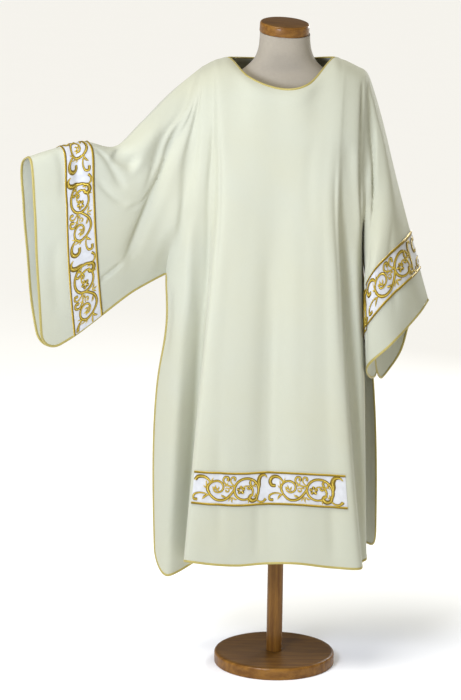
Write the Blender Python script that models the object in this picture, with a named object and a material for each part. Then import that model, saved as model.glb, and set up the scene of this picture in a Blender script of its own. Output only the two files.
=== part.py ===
"""A dalmatic worn by a limbless dress form, modelled at its real size in metres.

+Z is up, the front faces -Y and the origin is the centre of the round foot's underside. Left and
right are as seen from the front: the left sleeve is raised forward and the right one hangs.

Each panel is a sheet that runs through ribs, the lines of its ridges, troughs and edges. A rib goes
from the top line (overarm, shoulder or neck) to the underarm or the hem. A place on a panel is its
distance across the ribs and its row: 0 is the top line, 1 the armpit and 2 the hem.
"""
from collections import namedtuple
from math import cos, pi, radians, sin, tau

import bmesh
import bpy
import numpy as np
from mathutils import Matrix, Vector

# Cloth and trimmings
WALL = 0.002
SEAM_GAP = 0.0003
BINDING_WIDTH = 0.006
BINDING_PROUD = 0.0006
MITRE_LEAST = 0.06
PINCH, PINCH_BESIDE = 0.6, 0.25
BAND_THICKNESS = 0.0012
BAND_WIDTH = 0.085
BAND_ABOVE_HEM = 0.152
CORNER_RADIUS = 0.055
FRONT, BACK = -1.0, 1.0

# Levels of the body, as heights and as rows
CHEST_Z = 1.30
ARMPIT_Z = 1.00
HIP_Z = 0.72
CHEST_ROW, PARTING_ROW, ARMPIT_ROW, HIP_ROW, HEM_ROW = 0.42, 0.78, 1.0, 1.40, 2.0
SLEEVE_DEPTH = 0.46
SKIRT_LENGTH = 0.70

# The top line and the underarm lines, as (x, y, z) points from the body outwards
LEFT_OVERARM = (
    (-0.205, 0.000, 1.510),
    (-0.262, -0.038, 1.464),
    (-0.331, -0.090, 1.397),
    (-0.405, -0.143, 1.335),
    (-0.432, -0.161, 1.343),
    (-0.469, -0.186, 1.350),
    (-0.532, -0.230, 1.343),
    (-0.604, -0.280, 1.325),
)
LEFT_UNDERARM = (
    (-0.283, -0.052, 1.008),
    (-0.362, -0.110, 0.973),
    (-0.431, -0.158, 0.926),
    (-0.499, -0.206, 0.880),
    (-0.592, -0.270, 0.836),
)
RIGHT_OVERARM = (
    (0.203, 0.000, 1.503),
    (0.219, 0.000, 1.463),
    (0.237, 0.000, 1.407),
    (0.265, 0.000, 1.301),
    (0.317, 0.000, 1.116),
    (0.344, 0.000, 1.021),
    (0.367, 0.000, 0.944),
)
RIGHT_UNDERARM = (
    (0.200, -0.010, 1.050),
    (0.212, -0.008, 0.980),
    (0.224, 0.000, 0.900),
    (0.235, 0.014, 0.815),
    (0.247, 0.030, 0.728),
)
NECK_LEFT = (-0.134, 1.538)
NECK_RIGHT = (0.119, 1.542)
NECK_REACH = {FRONT: 0.105, BACK: 0.072}
NECK_DROP = {FRONT: 0.064, BACK: 0.010}
NECK_SKEW = 0.10
NECK_POWER = 0.85
NECK_CROWDING = 1.8
SHOULDER_ARCH = 0.006
ARMHOLE_SWELLS = {"left edge": 0.030, "right edge": 0.045}
UNDERARMS = {"left edge": LEFT_UNDERARM, "right edge": RIGHT_UNDERARM}
SLIT_CURVES = {"left edge": 0.009, "right edge": 0.000}
SLIT_ROW = 1.16
SLEEVE_TURN = 35.0
ROLL_OUT, ROLL_DROP = 0.68, 0.36
HANGING_ROLL, HANGING_ROLL_OUT = 0.3, 0.012
SEAM_HALF = 0.0032

# Ribs of the body, from left to right; columns is how many the panel has up to the next rib
BodyRib = namedtuple("BodyRib", "name columns top_x chest_x chest_y armpit_x armpit_y "
                                "hip_x hip_y hem_x hem_y hem_z")
FRONT_BODY = (
    BodyRib("left edge", 3, -0.205, -0.217, -0.112, -0.283, -0.052, -0.305, -0.035, -0.305, -0.035, 0.241),
    BodyRib("left ridge", 3, -0.192, -0.200, -0.118, -0.232, -0.095, -0.252, -0.076, -0.268, -0.066, 0.240),
    BodyRib("left trough", 4, -0.176, -0.171, -0.118, -0.185, -0.086,
            -0.197, -0.050, -0.211, -0.030, 0.262),
    BodyRib("front left ridge", 3, -0.157, -0.146, -0.138, -0.162, -0.147,
            -0.189, -0.150, -0.224, -0.152, 0.303),
    BodyRib("neck left", 3, -0.134, -0.118, -0.138, -0.125, -0.147, -0.140, -0.152, -0.168, -0.154, 0.297),
    BodyRib("left plain", 3, -0.085, -0.070, -0.138, -0.075, -0.145, -0.083, -0.150, -0.098, -0.150, 0.293),
    BodyRib("centre trough", 3, -0.015, -0.015, -0.136, -0.020, -0.137,
            -0.025, -0.139, -0.030, -0.145, 0.298),
    BodyRib("right plain", 3, 0.055, 0.045, -0.138, 0.045, -0.147, 0.048, -0.151, 0.050, -0.154, 0.302),
    BodyRib("neck right", 3, 0.119, 0.098, -0.138, 0.105, -0.146, 0.115, -0.150, 0.140, -0.150, 0.292),
    BodyRib("front right ridge", 2, 0.140, 0.128, -0.136, 0.142, -0.144,
            0.163, -0.150, 0.207, -0.150, 0.290),
    BodyRib("right step", 2, 0.156, 0.150, -0.127, 0.160, -0.102, 0.178, -0.092, 0.216, -0.088, 0.291),
    BodyRib("right strip", 2, 0.174, 0.172, -0.120, 0.182, -0.104, 0.197, -0.092, 0.224, -0.080, 0.293),
    BodyRib("right edge", 0, 0.203, 0.196, -0.085, 0.200, -0.010, 0.212, -0.043, 0.222, -0.040, 0.286),
)
BACK_BODY = (
    BodyRib("left edge", 3, -0.205, -0.225, 0.085, -0.283, -0.052, -0.272, 0.035, -0.262, 0.060, 0.262),
    BodyRib("left ridge", 3, -0.192, -0.205, 0.105, -0.235, 0.055, -0.238, 0.095, -0.238, 0.120, 0.268),
    BodyRib("left trough", 4, -0.176, -0.178, 0.112, -0.195, 0.095, -0.205, 0.112, -0.212, 0.118, 0.280),
    BodyRib("back left ridge", 3, -0.157, -0.150, 0.122, -0.158, 0.128,
            -0.170, 0.138, -0.190, 0.148, 0.290),
    BodyRib("neck left", 3, -0.134, -0.120, 0.126, -0.122, 0.135, -0.130, 0.140, -0.148, 0.142, 0.293),
    BodyRib("left plain", 3, -0.085, -0.072, 0.126, -0.075, 0.130, -0.080, 0.130, -0.090, 0.128, 0.292),
    BodyRib("centre ridge", 3, -0.015, -0.012, 0.126, -0.015, 0.136, -0.018, 0.142, -0.022, 0.150, 0.296),
    BodyRib("right plain", 3, 0.055, 0.045, 0.126, 0.046, 0.130, 0.048, 0.130, 0.052, 0.130, 0.294),
    BodyRib("neck right", 3, 0.119, 0.100, 0.126, 0.106, 0.134, 0.114, 0.140, 0.130, 0.148, 0.292),
    BodyRib("back right ridge", 2, 0.140, 0.130, 0.124, 0.142, 0.128, 0.158, 0.134, 0.180, 0.140, 0.290),
    BodyRib("right trough", 2, 0.156, 0.152, 0.118, 0.165, 0.112, 0.185, 0.118, 0.208, 0.128, 0.288),
    BodyRib("right strip", 3, 0.174, 0.175, 0.108, 0.188, 0.085, 0.215, 0.100, 0.236, 0.105, 0.284),
    BodyRib("right edge", 0, 0.203, 0.205, 0.070, 0.200, -0.010, 0.240, 0.060, 0.256, 0.060, 0.278),
)

# Ribs of the raised left sleeve, from the cuff to the body: where each starts and ends along the
# overarm and the underarm, how far its middle slides towards the cuff, and how far it stands out
# at a quarter, half and three quarters down
RaisedRib = namedtuple("RaisedRib", "name columns overarm underarm slide out_1 out_2 out_3")
FRONT_RAISED = (
    RaisedRib("cuff", 4, 0.547, 0.393, 0.003, 0.018, 0.013, 0.010),
    RaisedRib("band outer edge", 4, 0.457, 0.298, 0.011, 0.024, 0.020, 0.012),
    RaisedRib("band inner edge", 4, 0.378, 0.204, 0.012, 0.027, 0.025, 0.016),
    RaisedRib("elbow", 4, 0.302, 0.150, 0.008, 0.034, 0.030, 0.017),
    RaisedRib("upper arm", 4, 0.192, 0.100, 0.000, 0.049, 0.040, 0.021),
    RaisedRib("shoulder", 4, 0.083, 0.050, 0.022, 0.066, 0.060, 0.034),
)
BACK_RAISED = (
    RaisedRib("cuff", 4, 0.547, 0.393, 0.003, 0.034, 0.030, 0.028),
    RaisedRib("band outer edge", 4, 0.457, 0.298, 0.008, 0.034, 0.030, 0.024),
    RaisedRib("band inner edge", 4, 0.378, 0.204, 0.008, 0.034, 0.032, 0.022),
    RaisedRib("elbow", 4, 0.302, 0.150, 0.005, 0.040, 0.040, 0.030),
    RaisedRib("upper arm", 4, 0.192, 0.100, 0.000, 0.048, 0.053, 0.040),
    RaisedRib("shoulder", 4, 0.083, 0.050, 0.000, 0.056, 0.068, 0.050),
)

# Ribs of the hanging right sleeve, from the body to the cuff: where each starts and ends along the
# overarm and the underarm, and the points it goes through at a quarter, half and three quarters
HangingRib = namedtuple("HangingRib", "name columns overarm underarm quarter half three_quarters")
FRONT_HANGING = (
    HangingRib("shoulder", 3, 0.043, 0.071,
               (0.226, -0.062, 1.370), (0.208, -0.095, 1.240), (0.200, -0.075, 1.100)),
    HangingRib("upper arm", 3, 0.130, 0.122,
               (0.248, -0.070, 1.300), (0.222, -0.095, 1.180), (0.204, -0.085, 1.060)),
    HangingRib("elbow", 3, 0.270, 0.170,
               (0.268, -0.082, 1.190), (0.228, -0.108, 1.110), (0.203, -0.088, 1.005)),
    HangingRib("band upper edge", 4, 0.403, 0.220,
               (0.276, -0.090, 1.091), (0.224, -0.122, 1.040), (0.205, -0.086, 0.965)),
    HangingRib("band lower edge", 4, 0.501, 0.270,
               (0.306, -0.090, 1.003), (0.243, -0.125, 0.945), (0.208, -0.093, 0.874)),
    HangingRib("cuff", 0, 0.585, 0.332,
               (0.322, -0.075, 0.898), (0.270, -0.118, 0.850), (0.214, -0.090, 0.785)),
)
BACK_HANGING = (
    HangingRib("shoulder", 3, 0.043, 0.071,
               (0.226, 0.055, 1.370), (0.222, 0.080, 1.250), (0.215, 0.060, 1.110)),
    HangingRib("upper arm", 3, 0.130, 0.122,
               (0.250, 0.065, 1.290), (0.238, 0.095, 1.170), (0.222, 0.065, 1.040)),
    HangingRib("elbow", 3, 0.270, 0.170,
               (0.280, 0.075, 1.160), (0.255, 0.105, 1.050), (0.236, 0.075, 0.960)),
    HangingRib("band upper edge", 4, 0.403, 0.220,
               (0.308, 0.085, 1.040), (0.278, 0.115, 0.950), (0.252, 0.080, 0.885)),
    HangingRib("band lower edge", 4, 0.501, 0.270,
               (0.328, 0.088, 0.955), (0.295, 0.115, 0.870), (0.262, 0.085, 0.815)),
    HangingRib("cuff", 0, 0.585, 0.332,
               (0.333, 0.085, 0.880), (0.312, 0.115, 0.793), (0.276, 0.088, 0.742)),
)
ARMSCYE_COLUMNS = 2
NECK_LEFT_RIB, NECK_RIGHT_RIB = 4, 8
BAND_LEFT_RIB, BAND_RIGHT_RIB = 3, 9

# The largest folds: each runs through three points seen from the front, is pushed in (or out, if its
# depth is positive) along a direction turned from the panel's facing, and fades at both ends
Fold = namedtuple("Fold", "name turn start_x start_z middle_x middle_z end_x end_z depth half_width")
FRONT_FOLDS = (
    Fold("shoulder to elbow", 30, -0.205, 1.530, -0.278, 1.395, -0.330, 1.245, -0.007, 0.018),
    Fold("shoulder to underarm", 30, -0.210, 1.510, -0.314, 1.200, -0.383, 1.045, -0.010, 0.018),
    Fold("shoulder to armpit", 15, -0.190, 1.475, -0.222, 1.290, -0.244, 1.030, -0.006, 0.018),
    Fold("elbow dip", 35, -0.408, 1.330, -0.378, 1.312, -0.345, 1.290, -0.012, 0.022),
    Fold("right shoulder", -40, 0.206, 1.470, 0.213, 1.345, 0.214, 1.132, -0.010, 0.015),
    Fold("right side", -10, 0.150, 1.370, 0.164, 1.220, 0.186, 1.020, -0.008, 0.018),
)
BACK_FOLDS = (
    Fold("shoulder to elbow", 25, -0.235, 1.460, -0.305, 1.240, -0.385, 1.050, -0.014, 0.024),
    Fold("shoulder to armpit", 15, -0.200, 1.465, -0.222, 1.280, -0.258, 1.070, -0.010, 0.022),
    Fold("right side", -10, 0.158, 1.370, 0.172, 1.220, 0.190, 1.030, -0.009, 0.020),
)
FOLD_STEPS = 72
FOLD_FADE = 0.25
CREST_FADE = 0.06
UNDERARM_FADE = 0.10


def through(knots, values, at):
    """Points at the places `at` on the smooth curve that has `values` at `knots`."""
    knots = np.asarray(knots, float)
    values = np.asarray(values, float)
    at = np.asarray(at, float)
    tangents = curve_tangents(knots, values)
    piece = np.clip(np.searchsorted(knots, at, side="right") - 1, 0, len(knots) - 2)
    return hermite(knots, values, tangents, tangents, piece, at)


def curve_tangents(knots, values):
    """The slope at each knot of the parabola through it and its two neighbours."""
    shape = (-1,) + (1,) * (values.ndim - 1)
    widths = np.diff(knots).reshape(shape)
    slopes = np.diff(values, axis=0) / widths
    tangents = np.empty_like(values)
    inner = slopes[:-1] * widths[1:] + slopes[1:] * widths[:-1]
    tangents[1:-1] = inner / (widths[:-1] + widths[1:])
    tangents[0] = 1.5 * slopes[0] - 0.5 * tangents[1]
    tangents[-1] = 1.5 * slopes[-1] - 0.5 * tangents[-2]
    return tangents


def hermite(knots, values, leaving, arriving, piece, at):
    """The cubic from knot `piece` to the next at the places `at`, with a slope at either end."""
    width = knots[piece + 1] - knots[piece]
    t = (at - knots[piece]) / width
    column = () if values.ndim == 2 else (np.arange(len(piece)),)
    here, there = (piece, *column), (piece + 1, *column)
    t = t[:, None]
    width = width[:, None]
    ends = (2 * t ** 3 - 3 * t ** 2 + 1) * values[here] + (3 * t ** 2 - 2 * t ** 3) * values[there]
    leave = (t ** 3 - 2 * t ** 2 + t) * width * leaving[here]
    return ends + leave + (t ** 3 - t ** 2) * width * arriving[there]


def ramp(value, start, end):
    """0 before start, 1 after end and a smooth rise between."""
    t = np.clip((np.asarray(value, float) - start) / (end - start), 0.0, 1.0)
    return t * t * (3 - 2 * t)


def chord_lengths(points):
    """How far each point lies along the line through them all."""
    steps = np.linalg.norm(np.diff(np.asarray(points, float), axis=0), axis=1)
    return np.concatenate([[0.0], np.cumsum(steps)])


def along(line, distance):
    """The point at a distance along a line of points."""
    line = np.asarray(line, float)
    return through(chord_lengths(line), line, [distance])[0]


def top_point(x, facing):
    """The point of the shoulder line or the neckline at x."""
    neck_middle = (NECK_LEFT[0] + NECK_RIGHT[0]) / 2
    neck_half = (NECK_RIGHT[0] - NECK_LEFT[0]) / 2
    across = (x - neck_middle) / neck_half
    if abs(across) < 1.0:
        inside = 1.0 - (across - NECK_SKEW * (1.0 - across ** 2)) ** 2
        level = NECK_LEFT[1] + (NECK_RIGHT[1] - NECK_LEFT[1]) * (across + 1) / 2
        return np.array([x, facing * NECK_REACH[facing] * inside ** 0.5,
                         level - NECK_DROP[facing] * inside ** NECK_POWER])
    neck, shoulder = (NECK_LEFT, LEFT_OVERARM[0]) if across < 0 else (NECK_RIGHT, RIGHT_OVERARM[0])
    part = (x - neck[0]) / (shoulder[0] - neck[0])
    arch = SHOULDER_ARCH * sin(pi * min(part, 1.0))
    return np.array([x, 0.0, neck[1] + (shoulder[2] - neck[1]) * part + arch])


def body_rib(rib, facing):
    """Rows and points of a body rib; one at a panel's edge goes through the armpit."""
    top = top_point(rib.top_x, facing)
    chest = np.array([rib.chest_x, rib.chest_y, CHEST_Z])
    roll = []
    for angle in (22.5, 45.0, 67.5):
        turn = radians(angle)
        roll.append([top[0] + (chest[0] - top[0]) * (1 - cos(turn)),
                     top[1] + (chest[1] - top[1]) * sin(turn),
                     chest[2] + (top[2] - chest[2]) * cos(turn)])
    upper = np.array([top, *roll, chest])
    armpit = np.array([rib.armpit_x, rib.armpit_y, ARMPIT_Z])
    hip = np.array([rib.hip_x, rib.hip_y, HIP_Z])
    lengths = chord_lengths(upper)
    rows = list(lengths / lengths[-1] * CHEST_ROW) + [ARMPIT_ROW]
    points = [*upper, armpit]
    if rib.name in UNDERARMS:
        points[-1] = armpit = np.array(UNDERARMS[rib.name][0]) + [0.0, facing * SEAM_HALF, 0.0]
        rows.insert(-1, (CHEST_ROW + ARMPIT_ROW) / 2)
        points.insert(-1, (chest + armpit) / 2 + [0.0, facing * ARMHOLE_SWELLS[rib.name], 0.0])
        part = (SLIT_ROW - ARMPIT_ROW) / (HIP_ROW - ARMPIT_ROW)
        rows.append(SLIT_ROW)
        points.append(armpit + (hip - armpit) * part + [SLIT_CURVES[rib.name], 0.0, 0.0])
    points += [hip, (rib.hem_x, rib.hem_y, rib.hem_z)]
    return np.array(rows + [HIP_ROW, HEM_ROW]), np.array(points)


def raised_rib(rib, facing):
    """Rows and points of a rib of the raised sleeve."""
    turn = radians(SLEEVE_TURN)
    outward = -facing * np.array([sin(turn), -cos(turn), 0.0])
    cuffward = np.array([-cos(turn), -sin(turn), 0.0])
    start = along(LEFT_OVERARM, rib.overarm)
    end = along(LEFT_UNDERARM, rib.underarm)
    roll = outward * rib.out_1 * ROLL_OUT - [0.0, 0.0, rib.out_1 * ROLL_DROP]
    points = [start, start + roll]
    for part, out in ((0.25, rib.out_1), (0.5, rib.out_2), (0.75, rib.out_3)):
        slide = cuffward * rib.slide * sin(pi * part)
        points.append(start + (end - start) * part + outward * out + slide)
    points.append(end + outward * SEAM_HALF)
    return np.array([0.0, 0.06, 0.25, 0.5, 0.75, 1.0]), np.array(points)


def hanging_rib(rib, facing):
    """Rows and points of a rib of the hanging sleeve."""
    start = along(RIGHT_OVERARM, rib.overarm)
    end = along(RIGHT_UNDERARM, rib.underarm) + [0.0, facing * SEAM_HALF, 0.0]
    quarter = np.array(rib.quarter)
    roll = start + (quarter - start) * HANGING_ROLL + [0.0, facing * HANGING_ROLL_OUT, 0.0]
    rows = [0.0, 0.07, 0.25, 0.5, 0.75, 1.0]
    return np.array(rows), np.array([start, roll, quarter, rib.half, rib.three_quarters, end])


def fold_offsets(points, folds, facing):
    """How far the folds move each point."""
    offsets = np.zeros_like(points)
    for fold in folds:
        turn = radians(fold.turn)
        steps = np.linspace(0.0, 1.0, FOLD_STEPS)
        knots = [0.0, 0.5, 1.0]
        line = through(knots, [[fold.start_x, fold.start_z], [fold.middle_x, fold.middle_z],
                               [fold.end_x, fold.end_z]], steps)
        away = (points[:, None, [0, 2]] - line) / [cos(turn), 1.0]
        distance = np.linalg.norm(away, axis=2)
        nearest = steps[distance.argmin(axis=1)]
        fade = ramp(nearest, 0.0, FOLD_FADE) * ramp(1.0 - nearest, 0.0, FOLD_FADE)
        reach = fold.depth * fade * np.exp(-(distance.min(axis=1) / fold.half_width) ** 2)
        offsets += reach[:, None] * -facing * np.array([sin(turn), -cos(turn), 0.0])
    return offsets


class Panel:
    """The outer face of a front or back, as a function of the place on it."""

    def __init__(self, facing, raised, body, hanging, folds):
        self.facing = facing
        self.folds = folds
        self.ribs = [raised_rib(rib, facing) for rib in raised]
        self.left_edge = len(self.ribs)
        self.ribs += [body_rib(rib, facing) for rib in body]
        self.right_edge = len(self.ribs) - 1
        self.ribs += [hanging_rib(rib, facing) for rib in hanging]
        counts = [rib.columns for rib in raised] + [rib.columns for rib in body[:-1]]
        counts += [ARMSCYE_COLUMNS] + [rib.columns for rib in hanging[:-1]]
        self.knots = self.rib_distances()
        self.columns, self.rib_columns = self.column_places(counts)

    def rib_distances(self):
        """The mean distance across the panel of each rib from the first."""
        rows = np.array([0.3, 0.5, 0.75, 1.0])
        lines = [through(*rib, rows) for rib in self.ribs]
        body_rows = np.array([0.6, 1.0, 1.5, 2.0])
        body_lines = {index: through(*self.ribs[index], body_rows)
                      for index in range(self.left_edge, self.right_edge + 1)}
        distances = [0.0]
        for index in range(1, len(self.ribs)):
            if self.left_edge < index <= self.right_edge:
                gaps = body_lines[index] - body_lines[index - 1]
            else:
                gaps = lines[index] - lines[index - 1]
            distances.append(distances[-1] + np.linalg.norm(gaps, axis=1).mean())
        return np.array(distances)

    def column_places(self, counts):
        """Where the columns stand, and which column each rib is; they crowd where the neckline is steep."""
        places = [self.knots[0]]
        rib_columns = [0]
        for index, count in enumerate(counts):
            start, end = self.knots[index], self.knots[index + 1]
            parts = np.arange(1, count + 1) / count
            if index + 1 == self.left_edge + NECK_RIGHT_RIB:
                parts = 1.0 - (1.0 - parts) ** NECK_CROWDING
            places += list(start + (end - start) * parts)
            rib_columns.append(len(places) - 1)
        return np.array(places), rib_columns

    def points(self, across, rows):
        """The points at distances across the ribs and at rows."""
        across = np.asarray(across, float)
        rows = np.asarray(rows, float)
        lines = []
        for index, (knots, values) in enumerate(self.ribs):
            limit = HEM_ROW if self.left_edge <= index <= self.right_edge else ARMPIT_ROW
            lines.append(through(knots, values, np.clip(rows, 0.0, limit)))
        lines = np.array(lines)
        leaving = curve_tangents(self.knots, lines)
        arriving = leaving.copy()
        apart = ramp(rows, PARTING_ROW, ARMPIT_ROW)[:, None]
        ends = (0, self.left_edge, self.right_edge, len(self.ribs) - 1)
        for first, last in zip(ends, ends[1:]):
            own = curve_tangents(self.knots[first:last + 1], lines[first:last + 1])
            leaving[first] += (own[0] - leaving[first]) * apart
            arriving[last] += (own[-1] - arriving[last]) * apart
        piece = np.searchsorted(self.knots, across, side="right") - 1
        piece = np.clip(piece, 0, len(self.knots) - 2)
        skirt_piece = np.clip(piece, self.left_edge, self.right_edge - 1)
        piece = np.where(rows > ARMPIT_ROW, skirt_piece, piece)
        smooth = hermite(self.knots, lines, leaving, arriving, piece, across)
        sleeve = (across < self.knots[self.left_edge]) | (across > self.knots[self.right_edge])
        underarm = np.where(sleeve, ramp(ARMPIT_ROW - rows, 0.0, UNDERARM_FADE), 1.0)
        fade = ramp(rows, 0.0, CREST_FADE) * underarm
        return smooth + fold_offsets(smooth, self.folds, self.facing) * fade[:, None]

    def round_corners(self, across, rows):
        """Places moved so that the cuffs' and the skirt's corners are cut round."""
        across, rows = across.copy(), rows.copy()
        cuffs = ((self.knots[0], 1.0), (self.knots[-1], -1.0))
        skirt = ((self.knots[self.left_edge], 1.0), (self.knots[self.right_edge], -1.0))
        levels = ((cuffs, ARMPIT_ROW, SLEEVE_DEPTH), (skirt, HEM_ROW, SKIRT_LENGTH))
        for corners, bottom, depth in levels:
            for edge, inward in corners:
                side = 1.0 - (across - edge) * inward / CORNER_RADIUS
                down = 1.0 - (bottom - rows) * depth / CORNER_RADIUS
                near = (side > 0) & (side <= 1.001) & (down > 0) & (down <= 1.001)
                round_side = side * np.sqrt(1 - np.clip(down, 0, 1) ** 2 / 2)
                round_down = down * np.sqrt(1 - np.clip(side, 0, 1) ** 2 / 2)
                across[near] = edge + (1 - round_side[near]) * CORNER_RADIUS * inward
                rows[near] = bottom - (1 - round_down[near]) * CORNER_RADIUS / depth
        return across, rows


class Grid:
    """A panel's outer face as rows and columns of vertices, with the line where it is cut."""

    def __init__(self, panel, rows):
        self.panel = panel
        self.rows = rows
        self.armpit = rows.index(ARMPIT_ROW)
        self.last_row = len(rows) - 1
        self.last_column = len(panel.columns) - 1
        self.left, self.right = (panel.rib_columns[edge] for edge in (panel.left_edge, panel.right_edge))
        self.keys = [(column, row) for row in range(len(rows)) for column in range(len(panel.columns))
                     if row <= self.armpit or self.left <= column <= self.right]
        across = panel.columns[[column for column, _ in self.keys]]
        down = np.array(rows)[[row for _, row in self.keys]]
        nominal = panel.points(*panel.round_corners(across, down))
        self.edge = dict(zip(self.keys, nominal))
        self.cells = [(column, row) for column, row in self.keys
                      if (column + 1, row) in self.edge and (column, row + 1) in self.edge
                      and (column + 1, row + 1) in self.edge]
        self.normal = self.vertex_normals()
        self.cut = dict(self.edge)
        self.pinched = {(self.right, self.armpit): PINCH, (self.right, self.armpit + 1): PINCH_BESIDE,
                        (self.right + 1, self.armpit): PINCH_BESIDE}

    def rib_column(self, index):
        """The column of the body's rib with this index, from its left edge."""
        return self.panel.rib_columns[self.panel.left_edge + index]

    def seam_columns(self):
        """The columns whose top is joined to the other panel."""
        neck_left, neck_right = self.rib_column(NECK_LEFT_RIB), self.rib_column(NECK_RIGHT_RIB)
        return [column for column in range(self.last_column + 1)
                if column <= neck_left or column >= neck_right]

    def triangles(self, cell):
        """A cell's two outward triangles, split so that a rounded corner keeps its area."""
        column, row = cell
        upper_left, upper_right = (column, row), (column + 1, row)
        lower_left, lower_right = (column, row + 1), (column + 1, row + 1)
        if column < self.last_column / 2:
            faces = ((upper_left, lower_left, upper_right), (upper_right, lower_left, lower_right))
        else:
            faces = ((upper_left, lower_left, lower_right), (upper_left, lower_right, upper_right))
        return faces if self.panel.facing == FRONT else [face[::-1] for face in faces]

    def vertex_normals(self):
        """The mean direction of the faces round each vertex, by their angles at it."""
        total = {key: np.zeros(3) for key in self.edge}
        for cell in self.cells:
            for face in self.triangles(cell):
                corners = [self.edge[key] for key in face]
                direction = unit(np.cross(corners[1] - corners[0], corners[2] - corners[0]))
                for place, key in enumerate(face):
                    sides = [unit(corners[place - other] - corners[place]) for other in (1, 2)]
                    total[key] += direction * np.arccos(np.clip(sides[0] @ sides[1], -1.0, 1.0))
        for armpit, outward in ((self.left, -1), (self.right, 1)):
            beside = [(armpit - outward, self.armpit), (armpit + 2 * outward, self.armpit)]
            total[armpit, self.armpit] = sum(unit(total[key]) for key in beside)
        return {key: unit(direction) for key, direction in total.items()}

    def bound_path(self):
        """The vertices along the cuffs, underarms, slits and hem, from one overarm to the other."""
        path = [(0, row) for row in range(self.armpit)]
        path += [(column, self.armpit) for column in range(self.left)]
        path += [(self.left, row) for row in range(self.armpit, self.last_row)]
        path += [(column, self.last_row) for column in range(self.left, self.right)]
        path += [(self.right, row) for row in range(self.last_row, self.armpit, -1)]
        path += [(column, self.armpit) for column in range(self.right, self.last_column)]
        path += [(self.last_column, row) for row in range(self.armpit, -1, -1)]
        return path

    def neck_path(self):
        """The vertices along the neckline, from left to right."""
        first, last = self.rib_column(NECK_LEFT_RIB), self.rib_column(NECK_RIGHT_RIB)
        return [(column, 0) for column in range(first, last + 1)]

    def inner_neighbour(self, key):
        """The vertex inside the panel next to one on a bound edge."""
        column, row = key
        neck_left, neck_right = self.rib_column(NECK_LEFT_RIB), self.rib_column(NECK_RIGHT_RIB)
        if row == 0 and neck_left < column < neck_right:
            return column, 1
        if key == (self.right, self.armpit):
            return column, row - 1
        skirt = row >= self.armpit
        step = rise = 0
        if column == 0 or key == (neck_right, 0) or (column == self.left and skirt):
            step = 1
        if column == self.last_column or key == (neck_left, 0) or (column == self.right and skirt):
            step = -1
        if row == self.last_row or (row == self.armpit and not self.left < column < self.right):
            rise = -1
        return column + step, row + rise

    def inward(self, path, place):
        """The direction across the finished edge, into the panel, at a place on a path."""
        key = path[place]
        neighbour = unit(self.edge[self.inner_neighbour(key)] - self.edge[key])
        if place in (0, len(path) - 1):
            return neighbour
        before, after = (unit(self.edge[path[other]] - self.edge[key]) for other in (place - 1, place + 1))
        across = unit(np.cross(self.normal[key], after - before))
        return across if across @ neighbour > 0 else -across

    def trim(self):
        """Cut the bound edges back by the binding's width."""
        for path in (self.bound_path(), self.neck_path()):
            for place, key in enumerate(path):
                self.cut[key] = self.edge[key] + self.inward(path, place) * (BINDING_WIDTH + SEAM_GAP)


def unit(vector):
    """The vector at length 1."""
    return vector / np.linalg.norm(vector)


def share_seam(front, back):
    """Bring the tops of both panels together, a seam's gap apart and with one direction."""
    for column in front.seam_columns():
        middle = (front.edge[column, 0] + back.edge[column, 0]) / 2
        direction = unit(front.normal[column, 0] + back.normal[column, 0])
        for grid in (front, back):
            grid.edge[column, 0] = middle + [0.0, grid.panel.facing * SEAM_GAP / 2, 0.0]
            grid.cut[column, 0] = grid.edge[column, 0]
            grid.normal[column, 0] = direction


def closed_wall(name, faces, points, normals, outer, inner, material, facing=FRONT):
    """A solid wall on outward triangles of keys, from `inner` to `outer` along the normals."""
    shell = bmesh.new()
    keys = dict.fromkeys(key for face in faces for key in face)
    tops = {key: shell.verts.new(points[key] + normals[key] * outer) for key in keys}
    bottoms = {key: shell.verts.new(points[key] + normals[key] * inner) for key in tops}
    sides = {}
    for face in faces:
        shell.faces.new([tops[key] for key in face])
        shell.faces.new([bottoms[key] for key in reversed(face)])
        for start, end in zip(face, face[1:] + face[:1]):
            if (end, start) in sides:
                del sides[end, start]
            else:
                sides[start, end] = True
    for start, end in sides:
        upper, lower = (end, start) if facing == FRONT else (start, end)
        shell.faces.new([tops[end], tops[start], bottoms[lower]])
        shell.faces.new([tops[upper], bottoms[start], bottoms[end]])
    return add_object(name, shell, material)


def strip(name, sections, closed, material, turned=()):
    """A solid strip through four-cornered sections; some of its sides may be split the other way."""
    solid = bmesh.new()
    rings = [[solid.verts.new(corner) for corner in section] for section in sections]
    pairs = list(zip(rings, rings[1:] + rings[:1]))
    for index, (here, there) in enumerate(pairs if closed else pairs[:-1]):
        for corner in range(4):
            following = (corner + 1) % 4
            lower, upper = there[corner], here[following]
            if index in turned:
                lower, upper = there[following], here[corner]
            solid.faces.new([here[corner], here[following], lower])
            solid.faces.new([upper, there[following], there[corner]])
    if not closed:
        solid.faces.new(rings[0][::-1])
        solid.faces.new(rings[-1])
    if solid.calc_volume(signed=True) < 0:
        bmesh.ops.reverse_faces(solid, faces=solid.faces)
    return add_object(name, solid, material)


def off_the_wall(grid, here, there):
    """The direction off the panel's cut edge, between two of its vertices."""
    tangent = unit(grid.cut[there] - grid.cut[here])
    side = grid.edge[here] - grid.cut[here] + grid.edge[there] - grid.cut[there]
    normal = unit(np.cross(np.cross(tangent, grid.normal[here] + grid.normal[there]), tangent))
    side = side - tangent * (side @ tangent) - normal * (side @ normal)
    return unit(side)


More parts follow.
